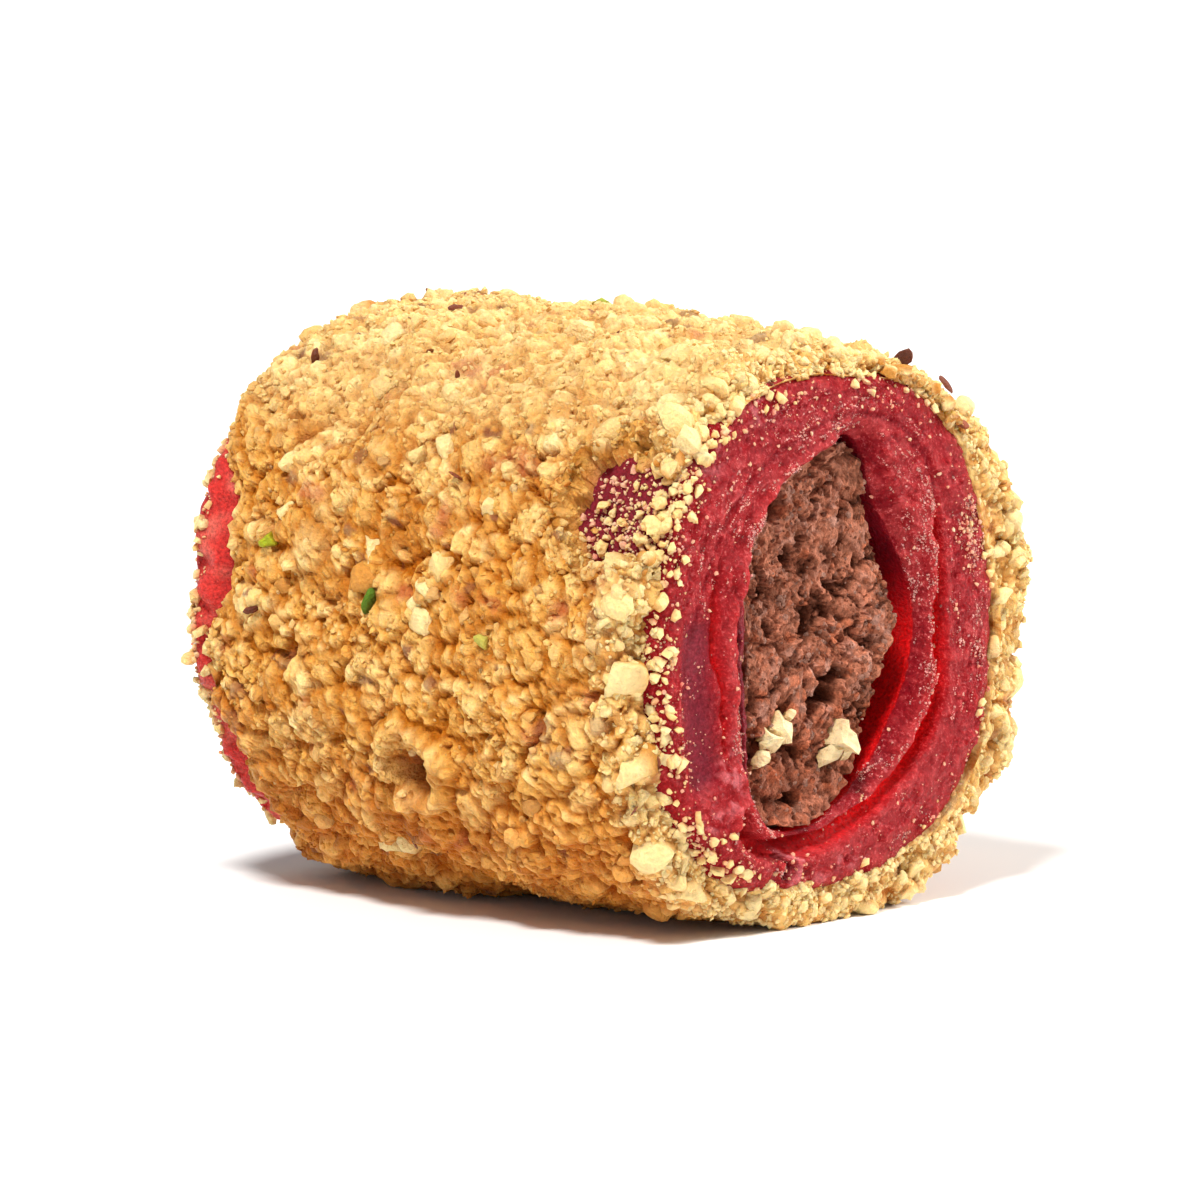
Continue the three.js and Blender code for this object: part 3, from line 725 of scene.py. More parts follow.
# Where wet glints are painted on the near face
wet = sum(
    hill(np.hypot(across - glint_across, (up - glint_up) / tall), 0, wide, 2)
    for glint_across, glint_up, wide, tall in WET_GLINTS
)
glint_grain = ease(swell(points, 0.45, 147) + 0.7 * swell(points, 0.22, 148), 0.0, 0.4)
wet = np.clip(wet, 0, 1) * glint_grain * near_side
sugar, _, sugar_own = grains(points, 0.5, 131)

# How far each point of the cut faces stands out
height = FACE_BULGE * (0.55 + 0.45 * ease(from_outside, 0.8, 3.0)) * ease(from_pocket, -0.2, 1.2)
height += 0.2 * broken(points, 3.4, 141, 3) * (1 - hollow) + 0.05 * streaks * (1 - hollow)
height += (0.14 * sugar * sugar_own + 0.16 * broken(points, 0.9, 142, 3)) * (1 - 0.9 * hollow)
height += (0.04 + 0.24 * slit) * lips + (0.45 - 0.22 * strip) * crest - 0.55 * ramp
height -= (0.08 + 0.9 * slit + 0.5 * under) * groove + 0.5 * hollow + 0.7 * bubble - 0.28 * bubble_rim
height -= 0.55 * inner_slit + 0.12 * inner_skin + 0.4 * fold
points[:, 0] += np.sign(along) * height * on_face

# How far each point of the walls stands out: wrinkles, and the jelly squeezed out at the far end
in_pocket = (from_pocket < 0.08) & (np.abs(along) < ROLL_HALF - LIP * 0.9)
outward = flat / reach[:, None]
wrinkle = 0.14 * swell(points * np.array([0.35, 1, 1]), 1.1, 151) + 0.12 * swell(points, 2.6, 152)
wrinkle = np.where(in_pocket, np.minimum(wrinkle, 0.05), wrinkle * 0.8)
wrinkle = wrinkle + 0.4 * broken(points, 1.3, 156, 3) * far_rim * ease(from_outside, 1.5, 0.0)
squeezed_out = hill(around, SQUEEZED_TURN, 0.78, 4) * ease(-along, *SQUEEZED) * ease(from_outside, 2.5, 0.0)
wrinkle = wrinkle + squeezed_out * (0.65 + 0.5 * swell(points, 2.4, 153) + 0.3 * broken(points, 1.0, 157, 2))
points[:, 1:] += outward * (wrinkle * np.maximum(on_wall, squeezed_out))[:, None]

# Colours, and in their alpha how frosted with sugar the jelly is
band = ease(swell(layers, 1.6, 161) + 0.5 * streaks, 0.1, 1.0)
crumbly = inner * ease(swell(points, 0.8, 143) + 0.6 * swell(points, 0.35, 144), -0.3, 0.6)
crumbly = crumbly * ease(np.cos(around - CRUMBLY_TURN), 0.3, 0.9)
from_wine = np.hypot((around - WINE_TURN) * BARE_REACH / WINE_ROUND, (along - WINE_X) / WINE_LONG)
far_highlight = ease(swell(points, 1.2, 154) + 0.5 * swell(points, 0.5, 155), -0.1, 0.7)
tone = painted(JELLY, [
    (JELLY_DEEP, 0.2 * ease(across, 9.0, 10.5) * on_face * ease(up, -8, 0)),
    (JELLY_PALE, 0.2 * band * on_face),
    (JELLY_DEEP, 0.35 * ease(up, 7, 11) * on_face),
    (JELLY_PALE, 0.5 * np.maximum(lips * (0.1 + 0.9 * slit), crest * 0.8) * on_face),
    # painted shade where the face slopes down into the gap round the fudge
    (JELLY_DEEP, 0.8 * ramp * on_face),
    (JELLY_PALE, 0.4 * ease(sugar * sugar_own, 0.55, 0.8) * on_face * (1 - hollow)),
    (JELLY_PALE, 0.6 * crumbly * on_face),
    (JELLY_WINE, 0.85 * hollow * on_face),
    # painted shade on the inner skin by the fudge and in the slit beside it, and a painted glow in the fold
    (JELLY_WINE * 0.8, 0.9 * inner_skin * on_face),
    (JELLY_DEEP * 0.3, 0.9 * inner_slit * on_face),
    (JELLY_GLOW * 0.8, 0.95 * fold * on_face),
    # painted shade in the seam's closed groove, and a painted glow, as of light through the jelly, in its
    # open slit
    (JELLY_DEEP, 0.5 * groove * (1 - slit) * on_face),
    (JELLY_GLOW * 1.3, groove * slit * (1 - 0.6 * under) * on_face),
    # painted shade in the bubble, and a painted highlight on the right of its rim
    (JELLY_DEEP * 0.4, 0.95 * bubble),
    (JELLY_GLINT, 0.7 * bubble_rim * ease(across, BUBBLE[0] - 0.4, BUBBLE[0] + 0.6)),
    # painted shade inside the gap round the fudge, with a painted glow low down
    (JELLY_DEEP, 1.0 * in_pocket),
    (JELLY_GLOW, in_pocket * ease(up, 4.0, -1.0)),
    (JELLY_WINE, 0.75 * ease(from_wine, 1.2, 0.8) * on_wall),
    (JELLY_FAR, 0.8 * on_wall * far_rim),
    # pale patches, painted highlights on the jelly at the far rim
    (JELLY_FAR_HIGHLIGHT, 0.35 * far_highlight * on_wall * far_rim),
    # painted wet glints
    (JELLY_GLINT, 0.6 * wet * on_face * ease(seam_gap, 0.2, 0.6)),
])
frosted = on_face * (1 - 0.9 * hollow) * (1 - groove * slit) * (0.45 + 0.55 * np.maximum(band, lips * slit))
frosted = frosted * (1 - 0.8 * np.maximum(inner_skin, fold))
tone = np.column_stack([tone, frosted])

jelly_red = food_material("jelly_red", roughness=0.2, gloss=0.11, grain=5200, shade=0.45, bump=0.0004)
let_light_in(jelly_red, share=0.4, colours=(1.0, 0.10, 0.07), reach=0.0018)
nodes, links = jelly_red.node_tree.nodes, jelly_red.node_tree.links
speck = nodes.new("ShaderNodeMapRange")
speck.inputs["From Min"].default_value = 0.56
speck.inputs["From Max"].default_value = 0.66
speck.inputs["To Max"].default_value = 0.7
links.new(nodes["Noise Texture"].outputs["Fac"], speck.inputs["Value"])
where_cut = nodes.new("ShaderNodeMath")
where_cut.operation = "MULTIPLY"
links.new(speck.outputs["Result"], where_cut.inputs[0])
links.new(nodes["Color Attribute"].outputs["Alpha"], where_cut.inputs[1])
frost = nodes.new("ShaderNodeMix")
frost.data_type = "RGBA"
frost.inputs["B"].default_value = FROST_PINK
links.new(nodes["Vector Math"].outputs["Vector"], frost.inputs["A"])
links.new(where_cut.outputs["Value"], frost.inputs["Factor"])
links.new(frost.outputs["Result"], nodes["Principled BSDF"].inputs["Base Color"])

faces = join_rings(len(rings), JELLY_SECTORS, True)
jelly = make_piece("jelly_sheet_wound", points, faces, jelly_red, tone, "jelly_sheet")
jelly_points, jelly_ways = points, normals_of(jelly)
jelly_on_face, jelly_from_outside, jelly_near, jelly_along = on_face, from_outside, near_side, along
jelly_across, jelly_up = across, up
jelly_frosted = frosted * (0.3 + band + 1.5 * crest + lips)
long_layers = layers * np.array([0.4, 1, 1])
jelly_streaks = swell(long_layers, 0.5, 127) + 0.5 * swell(long_layers, 0.25, 128)

# Coating paste: the finest crushed nut, bound by the sticky jelly into a thick uneven crust of grains. It has
# broken off in one place by the cut face, its rims are ragged, and it is pressed flat where the roll lies.
COAT_MIDDLE = (0.24, 0.20, 16.0)
COAT_HALF = 16.1
COAT_WIDE, COAT_HIGH = JELLY_WIDE + 2.8, JELLY_HIGH + 1.8
COAT_ROUND = 1.6
COAT_SECTORS = 500
ROUND_ROWS, BARREL_ROWS, NEAR_RIM_ROWS, FAR_RIM_ROWS = 12, 142, 9, 8
# Radius of the circle along which the rims' unevenness is read
RAGGED_CIRCLE = 9
# How far the near rim laps over the cut face and stands out from it, the angles where it laps most and
# least, and two rings that tuck its edge in under it, as how far back and how far down
LAP, LAP_LEAST, LAP_MOST, LAP_PROUD = 0.75, 0.25, 1.7, 0.28
LAP_WIDE_TURN, LAP_NARROW_TURN = 3.15, 1.9
LAP_TUCKS = [(0.1, 0.25), (0.7, 0.3)]
# How far the far rim stops short of the end, a ring that tucks it in, and its two worn places: angle, how
# far back, half width of the rim there and of the thin coat beside it. Then how thin that coat is worn.
FAR_RECESS = 0.25
FAR_TUCK = (0.3, 0.5)
WORN_PLACES = [(2.91, 2.1, 0.23, 0.26), (3.78, 2.9, 0.26, 0.3)]
WORN_THIN, WORN_FROM = 0.9, (8, 14)
# Toward the near end the coat is thinner on the upper right and thicker on the right, as angle and how much
THIN_TURN, THIN, THICK_TURN, THICK = 1.0, 1.25, -0.15, 0.6
THIN_FROM = (8, 14.5)
# The place where the coat broke off: along the roll, angle round it, half its size each way, and the radius
# there. Then how far the paste left there lies under the jelly's surface, and how far back from the rim.
BARE_X, BARE_TURN, BARE_LONG, BARE_ROUND, COAT_REACH = 14.6, 2.61, 4.4, 3.0, 15.5
BARE_UNDER, BARE_BACK, BARE_RIM = 0.95, 1.3, (14.6, 15.8)
# A ring of crumbs round a hollow in the crust: along the roll, angle round it, the coat's radius there, and
# the radii of the ring and of the hollow
CUP_X, CUP_TURN, CUP_REACH, CUP_RING, CUP_HOLLOW = 0.4, 3.57, 16, 1.9, 1.15
# Width of the crust's clods and grains, and how deep its floor lies below the coat's round form
BIG_CLOD, CLOD, GRAIN, FINE_GRAIN = 3.6, 2.0, 1.0, 0.6
CRUST_FLOOR = 1.85
# Rows over which the crust flattens out toward its tucked-in edges, and where the pale near rim sets in
FLAT_ROWS = 3.0
NEAR_RIM = (13.2, 15.4)
GOLD = np.array([0.83, 0.42, 0.086])
GOLD_PALE = np.array([1.0, 0.70, 0.28])
GOLD_DEEP = np.array([0.47, 0.14, 0.004])
# Painted light on the top of the roll
GOLD_TOP = GOLD_PALE * np.array([1.0, 1.05, 1.15])
SKIN_BROWN = np.array([0.22, 0.065, 0.035])
CUP_BROWN = np.array([0.22, 0.055, 0.03])
JELLY_STAIN = np.array([0.50, 0.12, 0.055])
# Painted shade on the low side of the roll
LOW_SHADE = np.array([0.09, 0.32, 0.56])
CLOD_TINT = np.array([0.10, 0.22, 0.4])
GRAIN_TINT = np.array([0.06, 0.14, 0.3])

angle = np.linspace(0, 2 * math.pi, COAT_SECTORS, endpoint=False)
outer = oval_radius(angle, COAT_WIDE, COAT_HIGH, JELLY_SQUARE)
held = jelly_radius(angle)
circle = RAGGED_CIRCLE * np.column_stack([np.cos(angle), np.sin(angle), 0 * angle])
ragged_near = 0.7 * swell(circle, 3.1, 261) + 0.5 * swell(circle, 1.3, 262)
ragged_far = 0.7 * swell(circle, 2.7, 263) + 0.5 * swell(circle, 1.2, 264)
lap = np.clip(LAP + 0.35 * hill(angle, LAP_WIDE_TURN, 0.62, 4) + 0.5 * ragged_near, LAP_LEAST, LAP_MOST)
lap = lap - 0.8 * lap * hill(angle, LAP_NARROW_TURN, 0.42, 4)
worn = sum(back * hill(angle, middle, wide, 4) for middle, back, wide, thin_wide in WORN_PLACES)
recess = FAR_RECESS + 0.5 * np.maximum(ragged_far, 0) + worn * (0.85 + 0.4 * ragged_far)


def coat_ring(x, radius):
    """A ring of points of the coating, at a distance along the roll and a radius for each angle."""
    return in_section(x, radius, angle, COAT_MIDDLE)


# Rings of points over the far rim, along the barrel and over the near rim
near_x = COAT_HALF + 0.12 * ragged_near
far_x = COAT_HALF - recess
near, far = [], []
for t in np.linspace(0, math.pi / 2, ROUND_ROWS):
    rounded = outer - COAT_ROUND * (1 - math.cos(t))
    near.append(coat_ring(near_x - COAT_ROUND * (1 - math.sin(t)), rounded))
    far.append(coat_ring(-far_x + COAT_ROUND * (1 - math.sin(t)), rounded))
near_lip, far_lip = coat_ring(COAT_HALF + LAP_PROUD, held - lap), coat_ring(-far_x, held + 0.1)
near += [near[-1] * (1 - t) + near_lip * t for t in np.linspace(0, 1, NEAR_RIM_ROWS + 1)[1:]]
near += [coat_ring(COAT_HALF - inward, held - lap - down) for inward, down in LAP_TUCKS]
far += [far[-1] * (1 - t) + far_lip * t for t in np.linspace(0, 1, FAR_RIM_ROWS + 1)[1:]]
far += [coat_ring(-far_x + FAR_TUCK[0], held - FAR_TUCK[1])]
barrel_x = np.linspace(-1, 1, BARREL_ROWS + 2)[1:-1] * (COAT_HALF - COAT_ROUND)
barrel = [coat_ring(x, outer) for x in barrel_x]
squeeze = np.clip((COAT_HALF - recess) / COAT_HALF, 0, 1)
for ring in barrel:
    behind = ring[:, 0] < COAT_MIDDLE[0]
    ring[:, 0] = np.where(behind, (ring[:, 0] - COAT_MIDDLE[0]) * squeeze + COAT_MIDDLE[0], ring[:, 0])
points = np.concatenate(far[::-1] + barrel + near)
rows = len(points) // COAT_SECTORS
turn = np.tile(angle, rows)
held_all = np.tile(held, rows)
row_number = np.repeat(np.arange(rows), COAT_SECTORS)
fade = np.clip(np.minimum(row_number - 1, rows - 3 - row_number) / FLAT_ROWS, 0, 1)

# Where the coat covers the jelly, and how thick it is
away_round = turn_from(BARE_TURN, turn) * COAT_REACH
away = np.hypot(away_round / BARE_ROUND, (points[:, 0] - BARE_X) / BARE_LONG)
away += 0.3 * swell(points, 2.0, 271) + 0.2 * swell(points, 0.9, 272)
covered = ease(away, 0.78, 1.22)
from_middle = points[:, 1:] - np.array(ROLL_MIDDLE[1:])
reach = np.linalg.norm(from_middle, axis=1)
thinner = THIN * hill(turn, THIN_TURN, 0.5, 4) - THICK * hill(turn_from(THICK_TURN, turn), 0, 0.5, 4)
thinner = thinner * ease(points[:, 0], *THIN_FROM)
worn = sum(hill(turn, middle, thin_wide, 4) for middle, back, wide, thin_wide in WORN_PLACES)
thinner += WORN_THIN * worn * ease(-points[:, 0], *WORN_FROM)
thinner = thinner * ease(reach - held_all, 0.2, 1.6)
from_middle = from_middle * (1 - thinner / reach)[:, None]
stripped = np.minimum(1, (held_all - BARE_UNDER) / reach)
lowered = from_middle * (stripped + (1 - stripped) * covered)[:, None]
withdrawn = points[:, 0] - BARE_BACK * (1 - covered) * ease(points[:, 0], *BARE_RIM)
points = np.column_stack([withdrawn, np.array(ROLL_MIDDLE[1:]) + lowered])
grid = points.reshape(rows, COAT_SECTORS, 3)
outward = np.cross(np.roll(grid, -1, axis=1) - np.roll(grid, 1, axis=1), np.gradient(grid, axis=0))
outward = (outward / np.maximum(np.linalg.norm(outward, axis=2), 1e-9)[:, :, None]).reshape(-1, 3)

# How far the crust stands out: clods and grains with crevices round them, over broad swells
warp = uneven_shift(points, 1.4, 0.6, (200, 203))
big, big_crease, _ = domes(points + 0.5 * warp, BIG_CLOD, 211)
mid, mid_crease, mid_own = domes(points + 0.3 * warp, CLOD, 221)
small, small_crease, small_own = domes(points + 0.12 * warp, GRAIN, 231)
fine, _, fine_own = domes(points, FINE_GRAIN, 241)
low_side = ease(-outward[:, 2], 0.15, 0.75)
top_side = ease(outward[:, 2], 0.35, 0.9)
crust = 0.42 * swell(points, 7.0, 251) + 0.5 * swell(points, 3.4, 252)
crust += (0.5 + 0.4 * low_side) * big + (0.62 - 0.15 * top_side) * mid + 0.42 * small + 0.24 * fine
crust += 0.16 * mid_crease + 0.14 * small_crease + 0.12 * big_crease
crust += 0.14 * swell(points, 0.42, 253) + 0.1 * (chance(np.floor(points * 90), 257) - 0.5)
crust -= CRUST_FLOOR
from_cup = np.hypot(turn_from(CUP_TURN, turn) * CUP_REACH, points[:, 0] - CUP_X - COAT_MIDDLE[0])
from_cup = from_cup + 0.55 * swell(points, 1.5, 254) + 0.2 * swell(points, 0.6, 256)
crust += 1.15 * hill(from_cup, CUP_RING, 0.65, 2) * (0.65 + 0.5 * swell(points, 1.9, 255))
crust -= 1.1 * hill(from_cup, 0, CUP_HOLLOW, 2)
points = points + outward * (crust * fade * ease(covered, 0.05, 0.6))[:, None]
points[:, 2] = np.maximum(points[:, 2], 0.0)


def level_round(heights, reach):
    """The average height round each point of the net, over reach points to every side."""
    level = sum(np.roll(heights, step, axis=1) for step in range(-reach, reach + 1)) / (2 * reach + 1)
    padded = np.pad(level, ((reach, reach), (0, 0)), mode="edge")
    return sum(padded[step:step + len(heights)] for step in range(2 * reach + 1)) / (2 * reach + 1)


# Colours: pale where the crust stands out and deep in its crevices, as painted highlight and painted shade,
# browner low down as painted shade, with a few grains of skin, and reddened where the jelly soaks through
heights = crust.reshape(rows, COAT_SECTORS)
proud = (heights - level_round(heights, 6)).ravel()
proud_fine = (heights - level_round(heights, 2)).ravel()
raised = proud + 0.8 * proud_fine + 0.12 * swell(points, 1.5, 283)
crevice = np.maximum(0.6 * (1 - small_crease), 0.85 * (1 - mid_crease))
soaked = ease(swell(points, 2.3, 281) + 0.4 * swell(points, 0.8, 282), 0.62, 0.95)
on_slope = covered * (1 - covered) * 4
near_rim = ease(points[:, 0], *NEAR_RIM) * covered
tone = painted(GOLD_DEEP, [
    # painted highlight where the crust stands out
    (GOLD, ease(raised, -0.34, 0.0)),
    (GOLD_PALE, ease(raised, 0.0, 0.42) * (0.35 + 0.65 * small_own)),
    (GOLD_PALE, 0.4 * ease(mid_own, 0.55, 0.9) * ease(mid, 0.3, 0.6)),
    # painted light on the top of the roll
    (GOLD_TOP, 0.6 * top_side),
    # painted shade in the crevices, less on top
    (GOLD_DEEP, np.maximum(crevice, 0.5 * ease(small, 0.5, 0.2)) * (1 - 0.45 * top_side)),
])
# Painted shade on the low side of the roll
tone *= 1 - low_side[:, None] * LOW_SHADE
tone = painted(tone, [
    (JELLY_STAIN, 0.55 * soaked),
    (SKIN_BROWN, 0.6 * ease(small_own, 0.98, 0.985) * ease(small, 0.1, 0.4)),
    (SKIN_BROWN, 0.8 * ease(fine_own, 0.985, 0.99)),
    (CUP_BROWN, 0.8 * hill(from_cup, 0, 1.0, 2)),
    # painted shade on the slope where the coat broke off
    (GOLD * 0.8, 0.6 * on_slope),
    (JELLY_STAIN, 0.8 * ease(1 - covered, 0.5, 0.85)),
    # the near rim paler, partly its pale crumbs and partly painted light
    (GOLD_PALE, 0.55 * near_rim * (1 - crevice) * ease(small, 0.3, 0.6)),
])
tone *= 1 + (mid_own - 0.6)[:, None] * CLOD_TINT
tone *= 1 + (small_own - 0.5)[:, None] * GRAIN_TINT

nut_paste = food_material("nut_paste", roughness=0.45, gloss=0.15, grain=2800, shade=0.2, bump=0.0006)
let_light_in(nut_paste, share=0.25, colours=(1.0, 0.45, 0.15), reach=0.0006)
faces = join_rings(rows, COAT_SECTORS, False)
crust_piece = make_piece(
    "nut_coat_paste", points, faces, nut_paste, tone, "nut_coating", smooth=False
)
coat_points, coat_ways, coat_tone, coat_turn = points, normals_of(crust_piece), tone, turn
coat_covered, coat_fade, coat_proud, coat_slope = covered, fade, proud, on_slope
coat_low, coat_top, coat_rim = low_side, top_side, near_rim

# Crushed nut: broken hazelnut rolled on while the jelly was sticky, from lumps to crumbs. Each is pressed
# part way into the paste at its own angle.
KINDS = [
    # name, how many, fineness of ball, least and most radius, how far out
    ("nut_lumps", 90, 3, 0.8, 1.4, -0.35),
    ("nut_granules", 1050, 2, 0.28, 0.75, -0.25),
    ("nut_crumbs", 9000, 1, 0.12, 0.33, -0.1),
]
KIND_SHAPES = 20
# How far apart the pieces of a kind sit, in their least radius
KIND_APART = 1.45
# Painted light on the pieces on top of the roll, and paler pieces along the near rim
GOLD_TOP_PIECE = GOLD_PALE * np.array([1.0, 1.05, 1.2])
# Painted shade toward the foot of each piece on the coat, in the colour of its crevices
SHADE_AT_NUT_FOOT = np.array([0.62, 0.36, 0.13])

for name, count, level, least, most, out in KINDS:
    dice = np.random.default_rng(len(name) * 17)
    crowd = 0.35 + ease(swell(coat_points, 3.2, 301 + level), -0.4, 0.6)
    crowd = crowd * (0.5 + 0.5 * ease(coat_proud, -0.35, 0.0))
    if name == "nut_lumps":
        crowd = crowd * (1 - 0.95 * coat_rim * hill(coat_turn, 1.0, 0.7, 4))
    edge = ease(coat_covered, 0.05, 0.2) * (1 + 11 * ease(coat_slope, 0.1, 0.5))
    weight = edge * (coat_fade > 0.1) * (coat_points[:, 2] > least * 1.1) * crowd * (1 + 2.4 * coat_rim)
    weight = weight * (1 + 1.5 * ease(-coat_points[:, 0], 13.5, 15.0))
    chosen = seat_on(coat_points, weight, count, KIND_APART * least, dice)
    ways, rim = coat_ways[chosen], coat_rim[chosen]
    sizes = mixed_sizes(len(chosen), least, most - least, 1.7, dice)
    lift = sizes * (out - 0.35 + 0.5 * dice.random(len(chosen)))
    spots = coat_points[chosen] + ways * lift[:, None]
    tints = blend(GOLD, GOLD_PALE, dice.random(len(chosen)) ** 1.5)
    tints = np.where(dice.random((len(chosen), 1)) < 0.05, NUT_CREAM, tints)
    # Painted shade on the pieces low on the roll
    tints = tints * (1 - coat_low[chosen][:, None] * LOW_SHADE)
    tints = painted(tints, [
        # the paste's colours under each piece, with their painted highlight and shade
        (coat_tone[chosen], (0.4 + 0.4 * dice.random(len(chosen))) * (1 - 0.7 * coat_slope[chosen])),
        # painted light on the pieces on top, and on the near rim partly painted light and partly pale crumbs
        (GOLD_TOP_PIECE, np.maximum(0.5 * coat_top[chosen], 0.75 * rim)),
        (NUT_CREAM, 0.6 * rim * dice.random(len(chosen))),
    ])
    tints = tints * (0.9 + 0.16 * dice.random((len(chosen), 1)))
    shapes = [jagged(1, dice) if level == 1 else chipped(level, dice) for _ in range(KIND_SHAPES)]
    points, faces, tone = pile_up(shapes, spots, ways, sizes, tints, SHADE_AT_NUT_FOOT, dice)
    points[:, 2] = np.maximum(points[:, 2], 0.0)
    make_piece(name, points, faces, nut_flesh, tone, "nut_coating", smooth=level > 2)

# Nut chunks: the largest pieces, pale blocks of nut flesh that were rolled into the crust with the rest and
# stand out of it. Over half of those given a place here are along the near rim.
CHUNKS = [
    # along the roll, angle round it and radius
    (-9.9, 2.62, 0.85), (1.1, 2.53, 1.05), (5.3, 2.71, 0.95), (-8.9, 2.81, 0.9), (-2.7, 2.87, 1.1),
    (2.1, 2.89, 1.15), (1.6, 2.98, 0.95), (1.4, 3.09, 0.9), (0.9, 3.02, 0.7), (15.6, 3.22, 1.5),
    (15.7, 3.52, 1.35), (15.6, 3.78, 1.3), (15.8, 4.05, 1.1), (15.9, 2.98, 1.0), (14.9, 2.31, 1.35),
    (13.6, 2.24, 1.0), (15.7, 2.12, 0.9), (15.4, 1.5, 0.7), (15.8, 0.75, 0.8), (15.8, 0.35, 1.0),
    (15.7, -0.3, 1.2), (15.8, 5.5, 1.1), (15.7, 4.9, 1.0),
]
OTHER_CHUNKS = 26
OTHER_CHUNKS_APART = 4.0
OTHER_CHUNK_LEAST, OTHER_CHUNK_ABOVE = 0.75, 0.6
# A chunk's size before it is broken, and how deep its middle is sunk, both in its radius
CHUNK_BALL, CHUNK_SUNK = 1.1, 0.45
# The middle and half width of the side on which every chunk has its place named
NAMED_TURN, NAMED_HALF = 3.0, 0.8


def coat_at(places):
    """The crust's nearest points to places named by distance along the roll and angle round it."""
    places = np.array(places)
    ring = oval_radius(places[:, 1], COAT_WIDE, COAT_HIGH, JELLY_SQUARE)
    wanted = in_section(places[:, 0], ring, places[:, 1], COAT_MIDDLE)
    return [int(np.argmin(np.sum((coat_points - place) ** 2, axis=1))) for place in wanted]


dice = np.random.default_rng(77)
elsewhere = (coat_covered > 0.95) * (coat_fade > 0.9) * (coat_points[:, 2] > 3)
elsewhere = elsewhere * (np.abs(coat_turn - NAMED_TURN) > NAMED_HALF)
others = seat_on(coat_points, elsewhere * 1.0, OTHER_CHUNKS, OTHER_CHUNKS_APART, dice)
chosen = np.concatenate([coat_at(CHUNKS), others])
other_sizes = mixed_sizes(len(others), OTHER_CHUNK_LEAST, OTHER_CHUNK_ABOVE, 1, dice)
sizes = np.concatenate([[radius for x, turn, radius in CHUNKS], other_sizes])
spots = coat_points[chosen] - coat_ways[chosen] * (CHUNK_SUNK * sizes)[:, None]
tints = blend(GOLD_PALE, NUT_CREAM, 0.1 + 0.6 * dice.random(len(chosen)))
shapes = [chipped(3, dice) for _ in range(14)]
points, faces, tone = pile_up(shapes, spots, coat_ways[chosen], CHUNK_BALL * sizes, tints, SHADE_AT_NUT_FOOT, dice)
points[:, 2] = np.maximum(points[:, 2], 0.0)
make_piece("nut_chunks", points, faces, nut_flesh, tone, "nut_coating")

# Brown skins and pistachio: thin flakes of the nuts' brown skin, and a few green bits of pistachio, which
# came with the crushed nut and stuck among its crumbs.
SKINS = 34
SKINS_APART = 2.2
SKIN_LEAST, SKIN_ABOVE = 0.25, 0.3
# How far the skins with a place below stand off the crust, the other skins, and the pistachio
SKIN_LIFT, OTHER_SKIN_LIFT, PISTACHIO_LIFT = 0.25, 0.1, 0.3
SKIN_FLAT = np.array([1, 0.8, 0.22])
# Painted shade toward the foot of each skin
SHADE_AT_SKIN_FOOT = np.array([0.8, 0.7, 0.6])
SKIN_PLACES = [
    # along the roll, angle round it and radius
    (14.0, 1.02, 0.85), (15.6, 0.86, 0.6), (-12.0, 2.21, 0.55), (2.8, 2.63, 0.5), (-11.1, 3.12, 0.5),
]
PISTACHIOS = [
    # along the roll, angle round it, radius and colour
    (-9.9, 2.89, 0.75, (0.42, 0.47, 0.02)), (-2.3, 3.05, 0.72, (0.10, 0.20, 0.015)),
    (6.4, 3.12, 0.6, (0.52, 0.47, 0.09)), (4.0, 0.4, 0.7, (0.35, 0.42, 0.03)),
    (-7.0, 5.4, 0.7, (0.14, 0.24, 0.02)), (-4.0, 1.3, 0.6, (0.42, 0.47, 0.05)),
]

weight = elsewhere + 0.3 * (coat_covered > 0.95) * (coat_points[:, 2] > 2)
others = seat_on(coat_points, weight, SKINS, SKINS_APART, dice)
chosen = np.concatenate([coat_at(SKIN_PLACES), others])
lift = np.repeat([SKIN_LIFT, OTHER_SKIN_LIFT], [len(SKIN_PLACES), len(others)])
spots = coat_points[chosen] + coat_ways[chosen] * lift[:, None]
other_sizes = mixed_sizes(len(others), SKIN_LEAST, SKIN_ABOVE, 1, dice)
sizes = np.concatenate([[radius for x, turn, radius in SKIN_PLACES], other_sizes])
tints = SKIN_BROWN * (0.45 + 1.0 * dice.random((len(chosen), 1)))
flakes = [(corners * SKIN_FLAT, sides) for corners, sides in (chipped(2, dice) for _ in range(8))]
points, faces, tone = pile_up(flakes, spots, coat_ways[chosen], sizes, tints, SHADE_AT_SKIN_FOOT, dice)
make_piece("brown_skins", points, faces, nut_flesh, tone, "nut_coating")

chosen = coat_at([(x, turn) for x, turn, radius, green in PISTACHIOS])
spots = coat_points[chosen] + coat_ways[chosen] * PISTACHIO_LIFT
tints = np.array([green for x, turn, radius, green in PISTACHIOS])
sizes = np.array([radius for x, turn, radius, green in PISTACHIOS])
shapes = [chipped(3, dice) for _ in range(4)]
points, faces, tone = pile_up(shapes, spots, coat_ways[chosen], sizes, tints, SHADE_AT_NUT_FOOT, dice)
make_piece("pistachio_bits", points, faces, nut_flesh, tone, "nut_coating")

# Dust on the jelly: the smallest crumbs, that the knife dragged over the cut faces and that stayed where the
# coating broke off, reddened where the jelly has wetted them.
DUST = 1700
DUST_LEAST, DUST_MOST = 0.04, 0.16
DUST_APART, DUST_STREWN = 0.2, 0.25
# Half the size each way of the dusty part of the bare place, and a dusty spot on the right as across and up
DUSTY_LONG, DUSTY_ROUND = 4.6, 3.3
DUSTY_SPOT = (12.0, 4.2)
DUST_PINK = np.array([0.80, 0.26, 0.20])
DUST_CREAM = np.array([0.95, 0.62, 0.38])
